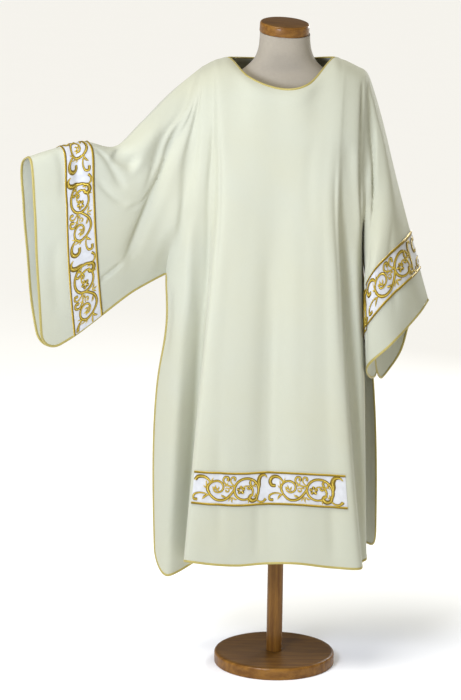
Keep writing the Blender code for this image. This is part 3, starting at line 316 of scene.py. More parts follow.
# Finer creases of the cloth. Each is pushed in along the cloth's own direction (or out, if its depth
# is positive), fades at both ends and runs through places given as (distance across, row)
Crease = namedtuple("Crease", "name depth half_width places")
FRONT_CREASES = (
    Crease("shoulder to elbow", -0.0070, 0.010,
           ((0.419, 0.02), (0.378, 0.06), (0.334, 0.13), (0.317, 0.25), (0.288, 0.41))),
    Crease("shoulder to underarm", -0.0055, 0.010,
           ((0.397, 0.03), (0.356, 0.16), (0.345, 0.32), (0.324, 0.43), (0.300, 0.55),
            (0.274, 0.69), (0.226, 0.79))),
    Crease("shoulder to armpit", -0.0040, 0.011,
           ((0.468, 0.10), (0.434, 0.23), (0.409, 0.42), (0.440, 0.71), (0.460, 1.04))),
    Crease("beside the upper arm", -0.0012, 0.014, ((0.349, 0.12), (0.300, 0.50), (0.265, 0.92))),
    Crease("swag rim left", -0.0045, 0.010, ((0.176, 0.19), (0.216, 0.29), (0.262, 0.39))),
    Crease("swag rim right", -0.0030, 0.011, ((0.246, 0.38), (0.292, 0.43), (0.323, 0.38))),
    Crease("elbow dip", -0.0040, 0.013, ((0.200, 0.02), (0.238, 0.12), (0.285, 0.19))),
    Crease("elbow crease", -0.0065, 0.009, ((0.180, 0.05), (0.211, 0.13), (0.250, 0.28))),
    Crease("cuff top dip", -0.0050, 0.016, ((0.120, 0.00), (0.126, 0.16), (0.128, 0.34))),
    Crease("cuff top second dip", -0.0030, 0.012, ((0.070, 0.02), (0.082, 0.14), (0.086, 0.30))),
    Crease("cuff middle", -0.0025, 0.018, ((0.060, 0.42), (0.052, 0.64), (0.060, 0.88))),
    Crease("sleeve underside", -0.0060, 0.009, ((0.170, 0.80), (0.214, 0.77), (0.255, 0.74))),
    Crease("left trough upper", -0.0050, 0.011,
           ((0.557, 0.20), (0.532, 0.42), (0.528, 0.60), (0.545, 0.95), (0.556, 1.24))),
    Crease("under the armpit", -0.0050, 0.009, ((0.446, 1.02), (0.443, 1.10), (0.443, 1.20), (0.442, 1.34))),
    Crease("left trough lower", -0.0060, 0.012, ((0.528, 1.02), (0.532, 1.50), (0.519, 1.96))),
    Crease("left ridge upper", 0.0040, 0.014, ((0.472, 0.66), (0.486, 0.94), (0.504, 1.22))),
    Crease("left ridge lower", 0.0035, 0.014, ((0.489, 1.28), (0.486, 1.60), (0.484, 1.92))),
    Crease("front left ridge", 0.0018, 0.016, ((0.535, 0.20), (0.536, 1.00), (0.536, 1.96))),
    Crease("beside the left ridge", -0.0022, 0.010, ((0.612, 0.20), (0.620, 0.60), (0.631, 1.24))),
    Crease("left plain", -0.0022, 0.016, ((0.618, 1.20), (0.630, 1.55), (0.633, 1.98))),
    Crease("hem left", -0.0030, 0.012, ((0.663, 1.46), (0.677, 1.74), (0.685, 1.98))),
    Crease("chest left", -0.0016, 0.020, ((0.633, 0.30), (0.628, 0.62), (0.642, 0.98))),
    Crease("centre trough", -0.0026, 0.018, ((0.768, 0.78), (0.773, 1.25), (0.778, 1.80))),
    Crease("centre crease", -0.0020, 0.008, ((0.784, 0.98), (0.788, 1.48), (0.792, 1.94))),
    Crease("hem centre", -0.0024, 0.010, ((0.762, 1.74), (0.765, 1.86), (0.767, 1.99))),
    Crease("right plain", -0.0018, 0.022, ((0.857, 0.62), (0.863, 1.10), (0.857, 1.62))),
    Crease("hem right", -0.0032, 0.010, ((0.924, 1.72), (0.925, 1.86), (0.926, 1.99))),
    Crease("chest right", -0.0016, 0.018, ((0.882, 0.26), (0.877, 0.50), (0.893, 0.80))),
    Crease("front right ridge", 0.0016, 0.014, ((0.940, 0.20), (0.940, 1.00), (0.944, 1.96))),
    Crease("right of the ridge", -0.0040, 0.010, ((0.965, 0.34), (0.969, 0.80), (0.964, 1.50))),
    Crease("right side", -0.0050, 0.009, ((1.007, 0.36), (1.020, 0.79), (1.031, 1.30))),
    Crease("right strip", -0.0035, 0.012, ((1.038, 1.06), (1.028, 1.45), (1.023, 1.94))),
    Crease("right shoulder", -0.0070, 0.008, ((1.063, 0.06), (1.062, 0.34), (1.067, 0.86))),
    Crease("right upper arm", -0.0080, 0.009, ((1.097, 0.00), (1.119, 0.34), (1.212, 0.60))),
    Crease("right sleeve long", -0.0040, 0.012, ((1.217, 0.58), (1.357, 0.68), (1.498, 0.74))),
    Crease("right sleeve middle", -0.0022, 0.018, ((1.277, 0.24), (1.367, 0.34), (1.478, 0.40))),
    Crease("right cuff", -0.0030, 0.012, ((1.417, 0.84), (1.457, 0.86), (1.505, 0.86))),
)
BACK_CREASES = (
    Crease("shoulder to elbow", -0.0060, 0.010, ((0.410, 0.05), (0.340, 0.30), (0.240, 0.76))),
    Crease("shoulder to underarm", -0.0045, 0.011, ((0.440, 0.12), (0.400, 0.42), (0.330, 0.94))),
    Crease("shoulder to armpit", -0.0050, 0.010, ((0.505, 0.12), (0.440, 0.48), (0.455, 0.94))),
    Crease("elbow dip", -0.0045, 0.012, ((0.250, 0.03), (0.262, 0.16), (0.285, 0.30))),
    Crease("cuff dip", -0.0035, 0.014, ((0.110, 0.04), (0.120, 0.22), (0.118, 0.46))),
    Crease("sleeve underside", -0.0040, 0.012, ((0.170, 0.70), (0.240, 0.82), (0.330, 0.95))),
    Crease("left trough upper", -0.0050, 0.012, ((0.520, 0.22), (0.520, 0.60), (0.535, 1.05))),
    Crease("left trough lower", -0.0045, 0.014, ((0.540, 1.10), (0.542, 1.50), (0.538, 1.94))),
    Crease("left ridge", 0.0030, 0.013, ((0.565, 0.50), (0.566, 1.05), (0.566, 1.90))),
    Crease("left plain", -0.0030, 0.020, ((0.640, 0.70), (0.645, 1.20), (0.650, 1.92))),
    Crease("beside the centre", -0.0030, 0.018, ((0.735, 0.60), (0.738, 1.15), (0.742, 1.90))),
    Crease("centre ridge", 0.0025, 0.016, ((0.785, 0.40), (0.786, 1.10), (0.788, 1.94))),
    Crease("right of the centre", -0.0028, 0.018, ((0.850, 0.55), (0.852, 1.20), (0.848, 1.80))),
    Crease("right plain", -0.0026, 0.014, ((0.915, 0.90), (0.918, 1.40), (0.922, 1.96))),
    Crease("hem left", -0.0030, 0.011, ((0.612, 1.60), (0.616, 1.80), (0.618, 1.98))),
    Crease("hem right", -0.0026, 0.011, ((0.880, 1.62), (0.884, 1.82), (0.886, 1.98))),
    Crease("right ridge", 0.0028, 0.013, ((0.975, 0.50), (0.980, 1.10), (0.985, 1.90))),
    Crease("right side", -0.0045, 0.011, ((1.030, 0.40), (1.045, 0.70), (1.075, 1.00))),
    Crease("right trough", -0.0040, 0.013, ((1.020, 1.10), (1.024, 1.50), (1.022, 1.92))),
    Crease("right shoulder", -0.0050, 0.011, ((1.110, 0.12), (1.150, 0.50), (1.240, 0.64))),
    Crease("right sleeve long", -0.0038, 0.013, ((1.230, 0.50), (1.380, 0.62), (1.520, 0.68))),
    Crease("right sleeve middle", -0.0024, 0.016, ((1.280, 0.20), (1.380, 0.30), (1.500, 0.34))),
)
CREASE_FADE = 0.30
CREASE_MARGIN = 4.0
ROW_METRES = 0.60

# The ornament of the bands, in millimetres: x along the band in one repeat and y up from its middle
REPEAT = 193.0
BORDER_Y = 39.6
Scroll = namedtuple("Scroll", "name x y start_radius end_radius start_turn sweep start_width width end_width")
SCROLLS = (
    Scroll("large ring", 129.0, -3.0, 13.0, 37.0, 60.0, -452.0, 2.6, 4.2, 4.4),
    Scroll("small ring", 54.0, 2.0, 21.5, 6.5, 214.0, -405.0, 4.2, 3.4, 2.2),
    Scroll("tiny curl", 80.0, -3.0, 6.2, 2.4, 150.0, -330.0, 1.2, 2.2, 3.0),
)
SCROLL_POWER = 0.6
SCROLL_SQUASH = 0.95
Sprig = namedtuple("Sprig", "name start_width width end_width points")
SPRIGS = (
    Sprig("hooked leaf", 5.6, 6.0, 1.6, ((16, 7), (8, 8), (3, 17), (9, 29), (22, 31), (33, 24), (39, 13))),
    Sprig("thorn on the hooked leaf", 2.4, 2.0, 0.6, ((36, 17), (41, 22), (43, 29))),
    Sprig("thin hook", 5.0, 3.2, 2.2, ((11, -31), (3, -30), (2, -21), (12, -14), (25, -13), (36, -18))),
    Sprig("thorn under the hook", 1.0, 3.6, 0.6, ((37, -15), (29, -21), (24, -30))),
    Sprig("stem", 1.2, 4.4, 3.6, ((29, 20), (32, 1), (41, -18), (57, -30), (75, -28), (91, -13), (101, 4))),
    Sprig("thorn on the small ring", 2.2, 2.0, 0.6, ((75, 8), (80, 12), (81, 19))),
    Sprig("thorn left of the small ring", 2.2, 2.2, 0.6, ((33, 2), (28, 3), (24, 8))),
    Sprig("leaf under the small ring", 1.0, 3.6, 0.8, ((66, -16), (72, -20), (80, -21))),
    Sprig("upper curl", 2.6, 3.0, 4.8, ((100, 8), (88, 8), (76, 13), (69, 23), (74, 32), (82, 30), (81, 23))),
    Sprig("second curl", 2.2, 2.6, 4.2, ((99, 9), (92, 15), (88, 24), (93, 32), (100, 30), (99, 24))),
    Sprig("tiny leaf", 1.2, 2.6, 0.8, ((94, 1), (89, 3), (84, 2))),
    Sprig("twig left", 1.0, 2.4, 0.8, ((94, -20), (89, -25), (85, -32))),
    Sprig("twig middle", 1.0, 2.6, 0.8, ((96, -21), (94, -28), (96, -35))),
    Sprig("twig right", 1.0, 2.6, 1.2, ((97, -20), (102, -26), (108, -26))),
    Sprig("thorn under the large ring", 2.4, 2.2, 0.8, ((136, -27), (139, -32), (138, -37))),
    Sprig("flower stem", 2.6, 2.4, 2.2, ((121, 2), (128, 8), (136, 8))),
    Sprig("inner sprig", 1.2, 3.0, 3.6, ((158, 4), (151, 8), (145, 4), (138, 0), (134, 4))),
    Sprig("inner leaf up", 1.0, 4.2, 2.0, ((149, 7), (143, 12), (141, 19), (147, 23))),
    Sprig("inner leaf side", 1.0, 3.4, 0.8, ((150, 7), (154, 13), (153, 19))),
    Sprig("inner leaf down", 1.0, 3.6, 0.8, ((147, 4), (148, -3), (153, -7))),
    Sprig("closing leaf", 3.8, 7.0, 3.0,
          ((162, -16), (158, -28), (148, -31), (141, -24), (144, -16), (150, -17))),
    Sprig("closing thorn", 1.0, 2.8, 0.8, ((152, -22), (157, -17), (156, -11))),
    Sprig("tall leaf", 2.6, 7.2, 1.4, ((163, -8), (166, 8), (165, 22), (170, 33), (180, 35), (187, 28))),
    Sprig("foot curl", 2.8, 3.2, 4.6, ((160, -27), (168, -35), (178, -35), (184, -29))),
    Sprig("small sprig stem", 1.0, 2.8, 0.8, ((61, -6), (55, -4), (51, 2), (50, 10))),
    Sprig("small sprig left", 0.8, 2.6, 0.8, ((52, 0), (47, 1), (43, 5))),
    Sprig("small sprig right", 0.8, 2.6, 0.8, ((53, -3), (58, 0), (59, 6))),
)
Flower = namedtuple("Flower", "name x y petals inner outer width turn")
FLOWERS = (Flower("five-petal flower", 117.0, -2.0, 5, 3.6, 11.4, 5.4, 20.0),)
Band = namedtuple("Band", "name repeat_length phase")
LEFT_BAND = Band("left_sleeve_band", 0.198, 0.076)
RIGHT_BAND = Band("right_sleeve_band", 0.205, 0.2305)
HEM_BAND = Band("hem_band", 0.164, 0.002)

# The dress form's torso and cap
TORSO_SQUARENESS = 2.3
TorsoRing = namedtuple("TorsoRing", "z half_width half_depth centre_y")
TORSO = (
    TorsoRing(0.860, 0.146, 0.098, 0.000),
    TorsoRing(0.880, 0.152, 0.104, 0.000),
    TorsoRing(0.950, 0.152, 0.106, 0.000),
    TorsoRing(1.060, 0.142, 0.100, 0.000),
    TorsoRing(1.180, 0.152, 0.104, 0.000),
    TorsoRing(1.300, 0.168, 0.108, -0.004),
    TorsoRing(1.380, 0.172, 0.104, -0.004),
    TorsoRing(1.430, 0.166, 0.090, -0.002),
    TorsoRing(1.465, 0.150, 0.072, 0.000),
    TorsoRing(1.492, 0.126, 0.058, 0.000),
    TorsoRing(1.512, 0.098, 0.052, 0.000),
    TorsoRing(1.532, 0.077, 0.054, 0.000),
    TorsoRing(1.555, 0.066, 0.058, 0.000),
    TorsoRing(1.578, 0.062, 0.058, 0.000),
    TorsoRing(1.600, 0.061, 0.058, 0.000),
)
CAP_RADIUS = 0.0605
CAP_HEIGHT = 0.025
CAP_CENTRE = (-0.002, 0.000, 1.6000)
CAP_TILT_SIDE = 3.6
CAP_TILT_FRONT = 8.0
CAP_EDGE = 0.006
CAP_SEAT = 0.0005
TORSO_RINGS = 121
TORSO_GIRTH = 0.135
TORSO_NECK_Z = 1.555

# The turned wood: the pole's rim, and a disc's rims and step as parts of its radius, depth or rim
POLE_CORE, POLE_RIM = 0.010, 0.002
RIM_REACH, LEVEL_SLACK = 0.97, 0.001
TOP_SEGMENTS, UNDER_SEGMENTS = 6, 3
UNDER_RIM = 0.25
FOOT_STEP, STEP_WALL, STEP_DROP = 0.10, 0.15, 0.02
UPWARD = 0.9
TURNED_SHARP_ANGLE = 40.0


def through(knots, values, at):
    """Points at the places `at` on the smooth curve that has `values` at `knots`."""
    knots = np.asarray(knots, float)
    values = np.asarray(values, float)
    at = np.asarray(at, float)
    tangents = curve_tangents(knots, values)
    piece = np.clip(np.searchsorted(knots, at, side="right") - 1, 0, len(knots) - 2)
    return hermite(knots, values, tangents, tangents, piece, at)


def curve_tangents(knots, values):
    """The slope at each knot of the parabola through it and its two neighbours."""
    shape = (-1,) + (1,) * (values.ndim - 1)
    widths = np.diff(knots).reshape(shape)
    slopes = np.diff(values, axis=0) / widths
    tangents = np.empty_like(values)
    inner = slopes[:-1] * widths[1:] + slopes[1:] * widths[:-1]
    tangents[1:-1] = inner / (widths[:-1] + widths[1:])
    tangents[0] = 1.5 * slopes[0] - 0.5 * tangents[1]
    tangents[-1] = 1.5 * slopes[-1] - 0.5 * tangents[-2]
    return tangents


def hermite(knots, values, leaving, arriving, piece, at):
    """The cubic from knot `piece` to the next at the places `at`, with a slope at either end."""
    width = knots[piece + 1] - knots[piece]
    t = (at - knots[piece]) / width
    column = () if values.ndim == 2 else (np.arange(len(piece)),)
    here, there = (piece, *column), (piece + 1, *column)
    t = t[:, None]
    width = width[:, None]
    return ((2 * t ** 3 - 3 * t ** 2 + 1) * values[here] + (3 * t ** 2 - 2 * t ** 3) * values[there]
            + (t ** 3 - 2 * t ** 2 + t) * width * leaving[here] + (t ** 3 - t ** 2) * width * arriving[there])


def ramp(value, start, end):
    """0 before start, 1 after end and a smooth rise between."""
    t = np.clip((np.asarray(value, float) - start) / (end - start), 0.0, 1.0)
    return t * t * (3 - 2 * t)


def chord_lengths(points):
    """How far each point lies along the line through them all."""
    steps = np.linalg.norm(np.diff(np.asarray(points, float), axis=0), axis=1)
    return np.concatenate([[0.0], np.cumsum(steps)])


def along(line, distance):
    """The point at a distance along a line of points."""
    line = np.asarray(line, float)
    return through(chord_lengths(line), line, [distance])[0]


def units(vectors):
    """The vectors at length 1."""
    return vectors / np.maximum(np.linalg.norm(vectors, axis=-1, keepdims=True), 1e-12)


def top_point(x, facing):
    """The point of the shoulder line or the neckline at x."""
    neck_middle = (NECK_LEFT[0] + NECK_RIGHT[0]) / 2
    neck_half = (NECK_RIGHT[0] - NECK_LEFT[0]) / 2
    across = (x - neck_middle) / neck_half
    if abs(across) < 1.0:
        inside = 1.0 - (across - NECK_SKEW * (1.0 - across ** 2)) ** 2
        level = NECK_LEFT[1] + (NECK_RIGHT[1] - NECK_LEFT[1]) * (across + 1) / 2
        return np.array([x, facing * NECK_REACH[facing] * inside ** 0.5,
                         level - NECK_DROP[facing] * inside ** NECK_POWER])
    neck, shoulder = (NECK_LEFT, LEFT_OVERARM[0]) if across < 0 else (NECK_RIGHT, RIGHT_OVERARM[0])
    part = (x - neck[0]) / (shoulder[0] - neck[0])
    arch = SHOULDER_ARCH * sin(pi * min(part, 1.0))
    return np.array([x, 0.0, neck[1] + (shoulder[2] - neck[1]) * part + arch])


def body_rib(rib, facing):
    """Rows and points of a body rib; one at a panel's edge goes through the armpit."""
    top = top_point(rib.top_x, facing)
    chest = np.array([rib.chest_x, rib.chest_y, CHEST_Z])
    roll = []
    for angle in SHOULDER_ROLL:
        turn = radians(angle)
        roll.append([top[0] + (chest[0] - top[0]) * (1 - cos(turn)),
                     top[1] + (chest[1] - top[1]) * sin(turn),
                     chest[2] + (top[2] - chest[2]) * cos(turn)])
    upper = np.array([top, *roll, chest])
    armpit = np.array([rib.armpit_x, rib.armpit_y, ARMPIT_Z])
    hip = np.array([rib.hip_x, rib.hip_y, HIP_Z])
    lengths = chord_lengths(upper)
    rows = list(lengths / lengths[-1] * CHEST_ROW) + [ARMPIT_ROW]
    points = [*upper, armpit]
    if rib.name in UNDERARMS:
        points[-1] = armpit = np.array(UNDERARMS[rib.name][0]) + [0.0, facing * SEAM_HALF, 0.0]
        rows.insert(-1, (CHEST_ROW + ARMPIT_ROW) / 2)
        points.insert(-1, (chest + armpit) / 2 + [0.0, facing * ARMHOLE_SWELLS[rib.name], 0.0])
        part = (SLIT_ROW - ARMPIT_ROW) / (HIP_ROW - ARMPIT_ROW)
        rows.append(SLIT_ROW)
        points.append(armpit + (hip - armpit) * part + [SLIT_CURVES[rib.name], 0.0, 0.0])
    return np.array(rows + [HIP_ROW, HEM_ROW]), np.array([*points, hip, (rib.hem_x, rib.hem_y, rib.hem_z)])


def raised_rib(rib, facing):
    """Rows and points of a rib of the raised sleeve."""
    turn = radians(SLEEVE_TURN)
    outward = -facing * np.array([sin(turn), -cos(turn), 0.0])
    cuffward = np.array([-cos(turn), -sin(turn), 0.0])
    start = along(LEFT_OVERARM, rib.overarm)
    end = along(LEFT_UNDERARM, rib.underarm)
    roll = outward * rib.out_1 * RAISED_ROLL_OUT - [0.0, 0.0, rib.out_1 * RAISED_ROLL_DROP]
    points = [start, start + roll]
    for part, out in ((0.25, rib.out_1), (0.5, rib.out_2), (0.75, rib.out_3)):
        slide = cuffward * rib.slide * sin(pi * part)
        points.append(start + (end - start) * part + outward * out + slide)
    points.append(end + outward * SEAM_HALF)
    return np.array(RAISED_ROWS), np.array(points)


def hanging_rib(rib, facing):
    """Rows and points of a rib of the hanging sleeve."""
    start = along(RIGHT_OVERARM, rib.overarm)
    end = along(RIGHT_UNDERARM, rib.underarm) + [0.0, facing * SEAM_HALF, 0.0]
    quarter = np.array(rib.quarter)
    roll = start + (quarter - start) * HANGING_ROLL_PART + [0.0, facing * HANGING_ROLL_OUT, 0.0]
    return np.array(HANGING_ROWS), np.array([start, roll, quarter, rib.half, rib.three_quarters, end])


def fold_line(places):
    """Many points on the smooth line through a fold's places."""
    return through(np.linspace(0.0, 1.0, len(places)), places, np.linspace(0.0, 1.0, FOLD_STEPS))


def fold_share(away, fade_part, half_width):
    """The share of its depth that a fold has at each place, from the offsets to its line's points."""
    distance = np.linalg.norm(away, axis=2)
    nearest = distance.argmin(axis=1) / (FOLD_STEPS - 1)
    fade = ramp(nearest, 0.0, fade_part) * ramp(1.0 - nearest, 0.0, fade_part)
    return fade * np.exp(-(distance.min(axis=1) / half_width) ** 2)


def fold_offsets(points, folds, facing):
    """How far the folds move each point."""
    offsets = np.zeros_like(points)
    for fold in folds:
        turn = radians(fold.turn)
        line = fold_line([[fold.start_x, fold.start_z], [fold.middle_x, fold.middle_z],
                          [fold.end_x, fold.end_z]])
        away = (points[:, None, [0, 2]] - line) / [cos(turn), 1.0]
        reach = fold.depth * fold_share(away, FOLD_FADE, fold.half_width)
        offsets += reach[:, None] * -facing * np.array([sin(turn), -cos(turn), 0.0])
    return offsets


def crease_depths(across, rows, creases):
    """How far the creases push each place out of the cloth."""
    places = np.stack([across, rows], axis=1)
    depths = np.zeros(len(across))
    for crease in creases:
        line = fold_line(crease.places)
        margin = CREASE_MARGIN * crease.half_width
        near = (across > line[:, 0].min() - margin) & (across < line[:, 0].max() + margin)
        away = (places[near, None] - line) * [1.0, ROW_METRES]
        depths[near] += crease.depth * fold_share(away, CREASE_FADE, crease.half_width)
    return depths


class Panel:
    """The outer face of a front or back, as a function of the place on it."""

    def __init__(self, facing, raised, body, hanging, folds, creases):
        self.facing = facing
        self.folds = folds
        self.creases = creases
        self.ribs = [raised_rib(rib, facing) for rib in raised]
        self.left_edge = len(self.ribs)
        self.ribs += [body_rib(rib, facing) for rib in body]
        self.right_edge = len(self.ribs) - 1
        self.ribs += [hanging_rib(rib, facing) for rib in hanging]
        self.knots = self.rib_distances()

    def rib_distances(self):
        """The mean distance across the panel of each rib from the first."""
        distances = [0.0]
        for index in range(1, len(self.ribs)):
            rows = BODY_GAP_ROWS if self.left_edge < index <= self.right_edge else SLEEVE_GAP_ROWS
            gaps = through(*self.ribs[index], rows) - through(*self.ribs[index - 1], rows)
            distances.append(distances[-1] + np.linalg.norm(gaps, axis=1).mean())
        return np.array(distances)

    def smooth_points(self, across, rows):
        """The points at distances across the ribs and at rows, before the creases."""
        lines = []
        for index, (knots, values) in enumerate(self.ribs):
            limit = HEM_ROW if self.left_edge <= index <= self.right_edge else ARMPIT_ROW
            lines.append(through(knots, values, np.clip(rows, 0.0, limit)))
        lines = np.array(lines)
        leaving = curve_tangents(self.knots, lines)
        arriving = leaving.copy()
        apart = ramp(rows, PARTING_ROW, ARMPIT_ROW)[:, None]
        ends = (0, self.left_edge, self.right_edge, len(self.ribs) - 1)
        for first, last in zip(ends, ends[1:]):
            own = curve_tangents(self.knots[first:last + 1], lines[first:last + 1])
            leaving[first] += (own[0] - leaving[first]) * apart
            arriving[last] += (own[-1] - arriving[last]) * apart
        piece = np.clip(np.searchsorted(self.knots, across, side="right") - 1, 0, len(self.knots) - 2)
        skirt_piece = np.clip(piece, self.left_edge, self.right_edge - 1)
        piece = np.where(rows > ARMPIT_ROW, skirt_piece, piece)
        smooth = hermite(self.knots, lines, leaving, arriving, piece, across)
        return smooth + fold_offsets(smooth, self.folds, self.facing) * self.fade(across, rows)[:, None]

    def fade(self, across, rows):
        """How much of a fold a place takes: none along the top and along an underarm."""
        sleeve = (across < self.knots[self.left_edge]) | (across > self.knots[self.right_edge])
        underarm = np.where(sleeve, ramp(ARMPIT_ROW - rows, 0.0, UNDERARM_FADE), 1.0)
        return ramp(rows, 0.0, CREST_FADE) * underarm

    def points(self, across, rows):
        """The points of the creased cloth."""
        across = np.asarray(across, float)
        rows = np.asarray(rows, float)
        smooth = self.smooth_points(across, rows)
        depths = crease_depths(across, rows, self.creases) * self.fade(across, rows)
        creased = np.abs(depths) > LEAST_DEPTH
        beside = self.smooth_points(across[creased] + NEARBY, rows[creased]) - smooth[creased]
        below_rows = np.where(rows[creased] > HEM_ROW - NEARBY, -NEARBY, NEARBY)
        below = self.smooth_points(across[creased], rows[creased] + below_rows) - smooth[creased]
        normals = units(np.cross(below * np.sign(below_rows)[:, None], beside)) * -self.facing
        smooth[creased] += normals * depths[creased, None]
        return smooth

    def round_corners(self, across, rows):
        """Places moved so that the cuffs' and the skirt's corners are cut round."""
        across, rows = across.copy(), rows.copy()
        cuffs = ((self.knots[0], 1.0), (self.knots[-1], -1.0))
        skirt = ((self.knots[self.left_edge], 1.0), (self.knots[self.right_edge], -1.0))
        for corners, bottom, depth in ((cuffs, ARMPIT_ROW, SLEEVE_DEPTH), (skirt, HEM_ROW, SKIRT_LENGTH)):
            for edge, inward in corners:
                side = 1.0 - (across - edge) * inward / CORNER_RADIUS
                down = 1.0 - (bottom - rows) * depth / CORNER_RADIUS
                near = (side > 0) & (side <= CORNER_SLACK) & (down > 0) & (down <= CORNER_SLACK)
                round_side = side * np.sqrt(1 - np.clip(down, 0, 1) ** 2 / 2)
                round_down = down * np.sqrt(1 - np.clip(side, 0, 1) ** 2 / 2)
                across[near] = edge + (1 - round_side[near]) * CORNER_RADIUS * inward
                rows[near] = bottom - (1 - round_down[near]) * CORNER_RADIUS / depth
        return across, rows


class Sheet:
    """A panel as a fine grid: its places, points, directions and flat places."""

    def __init__(self, panel, counts, step):
        self.panel = panel
        self.columns, self.rib_columns = self.column_places(counts)
        crest = CREST_FADE * 2
        upper = int(round((ARMPIT_ROW - crest) * ROW_METRES / step))
        lower = int(round(SKIRT_LENGTH / step))
        self.rows = np.concatenate([np.linspace(0.0, crest, CREST_ROWS + 1),
                                    np.linspace(crest, ARMPIT_ROW, upper + 1)[1:],
                                    np.linspace(ARMPIT_ROW, HEM_ROW, lower + 1)[1:]])
        self.armpit = CREST_ROWS + upper
        self.left, self.right = (self.rib_columns[edge] for edge in (panel.left_edge, panel.right_edge))
        self.number = -np.ones((len(self.rows), len(self.columns)), int)
        self.number[:self.armpit + 1] = 0
        self.number[:, self.left:self.right + 1] = 0
        row, column = np.nonzero(self.number == 0)
        self.number[row, column] = np.arange(len(row))
        self.points = panel.points(*panel.round_corners(self.columns[column], self.rows[row]))
        quads = grid_quads(self.number)
        self.quads = quads if panel.facing == FRONT else quads[:, ::-1]
        self.normals = self.vertex_normals()
        self.flat = self.flat_places(row, column)

    def column_places(self, counts):
        """Where the columns stand, and which column each rib is."""
        places = [self.panel.knots[0]]
        rib_columns = [0]
        for start, end, count in zip(self.panel.knots, self.panel.knots[1:], counts):
            places += [start + (end - start) * (index + 1) / count for index in range(count)]
            rib_columns.append(len(places) - 1)
        return np.array(places), rib_columns

    def vertex_normals(self):
        """The mean direction of the quads round each vertex."""
        corners = self.points[self.quads]
        direction = units(np.cross(corners[:, 2] - corners[:, 0], corners[:, 3] - corners[:, 1]))
        total = np.zeros_like(self.points)
        for corner in range(4):
            np.add.at(total, self.quads[:, corner], direction)
        return units(total)

    def flat_places(self, row, column):
        """Each vertex's place on the flat cloth, in metres: along the weft and down the warp."""
        down = np.zeros(len(self.points))
        for place in range(1, len(self.rows)):
            here, above = self.number[place], self.number[place - 1]
            both = (here >= 0) & (above >= 0)
            step = np.linalg.norm(self.points[here[both]] - self.points[above[both]], axis=1)
            down[here[both]] = down[above[both]] + step
        return np.stack([self.columns[column], down], axis=1)

    def rib_column(self, index):
        """The column of the body's rib with this index, from its left edge."""
        return self.rib_columns[self.panel.left_edge + index]

    def bound_path(self):
        """The vertices along the cuffs, underarms, slits and hem, from one overarm to the other."""
        last = len(self.rows) - 1
        path = list(self.number[:self.armpit, 0])
        path += list(self.number[self.armpit, :self.left])
        path += list(self.number[self.armpit:last, self.left])
        path += list(self.number[last, self.left:self.right])
        path += list(self.number[last:self.armpit:-1, self.right])
        path += list(self.number[self.armpit, self.right:-1])
        path += list(self.number[self.armpit::-1, -1])
        return np.array(path)

    def neck_path(self):
        """The vertices along the neckline, from right to left."""
        return self.number[0, self.rib_column(NECK_LEFT_RIB):self.rib_column(NECK_RIGHT_RIB) + 1][::-1]

    def seam(self):
        """The vertices along the top that are joined to the other panel."""
        top = self.number[0]
        left, right = self.rib_column(NECK_LEFT_RIB), self.rib_column(NECK_RIGHT_RIB)
        return np.concatenate([top[:left + 1], top[right:]])


def grid_quads(number):
    """The quads between the vertices of a numbered grid, without those that miss a vertex."""
    corners = [number[:-1, :-1], number[1:, :-1], number[1:, 1:], number[:-1, 1:]]
    quads = np.stack(corners, axis=-1).reshape(-1, 4)
    return quads[(quads >= 0).all(axis=1)]


def share_seam(front, back):
    """Bring the tops of both sheets together, a hair apart and with one direction."""
    ahead, behind = front.seam(), back.seam()
    middle = (front.points[ahead] + back.points[behind]) / 2
    direction = units(front.normals[ahead] + back.normals[behind])
    for sheet, seam in ((front, ahead), (back, behind)):
        sheet.points[seam] = middle + [0.0, sheet.panel.facing * SEAM_GAP / 2, 0.0]
        sheet.normals[seam] = direction


def add_mesh(name, points, faces, places, material):
    """A mesh piece at the origin, its faces outward, with its flat places as its UV map."""
    mesh = bpy.data.meshes.new(name)
    faces = outward_faces(points, [tuple(int(corner) for corner in face) for face in faces])
    mesh.from_pydata([tuple(point) for point in points], [], faces)
    layer = mesh.uv_layers.new(name="flat")
    corners = np.empty(len(mesh.loops), int)
    mesh.loops.foreach_get("vertex_index", corners)
    layer.data.foreach_set("uv", np.asarray(places, float)[corners].ravel())
    mesh.shade_smooth()
    mesh.set_sharp_from_angle(angle=radians(SHARP_ANGLE))
    mesh.materials.append(material)
    piece = bpy.data.objects.new(name, mesh)
    bpy.context.scene.collection.objects.link(piece)
    return piece


def closed_shell(points, normals, faces, wall):
    """Points and faces of a closed wall whose outer face is given."""
    count = len(points)
    faces = np.asarray(faces)
    edges = np.stack([faces, np.roll(faces, -1, axis=1)], axis=-1).reshape(-1, 2)
    codes = edges[:, 0] * count + edges[:, 1]
    opposite = edges[:, 1] * count + edges[:, 0]
    rim = edges[~np.isin(codes, opposite)]
    sides = np.stack([rim[:, 1], rim[:, 0], rim[:, 0] + count, rim[:, 1] + count], axis=1)
    both = np.concatenate([points, points - normals * wall])
    return both, np.concatenate([faces, faces[:, ::-1] + count, sides])


def dress(piece, slot, *nodes):
    """The piece rides on the one body and stands for its solids, which are hidden."""
    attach(piece, "root")
    if nodes:
        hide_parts(*nodes)


@cache
def both_panels():
    """The outer faces of the front and the back."""
    return (Panel(FRONT, FRONT_RAISED, FRONT_BODY, FRONT_HANGING, FRONT_FOLDS, FRONT_CREASES),
            Panel(BACK, BACK_RAISED, BACK_BODY, BACK_HANGING, BACK_FOLDS, BACK_CREASES))


@cache
def cloth_sheets(step):
    """The front and the back as fine grids that meet along the top."""
    front, back = both_panels()
    counts = [max(LEAST_COLUMNS, int(round(width / step))) for width in np.diff(front.knots)]
    sheets = Sheet(front, counts, step), Sheet(back, counts, step)
    share_seam(*sheets)
    return sheets


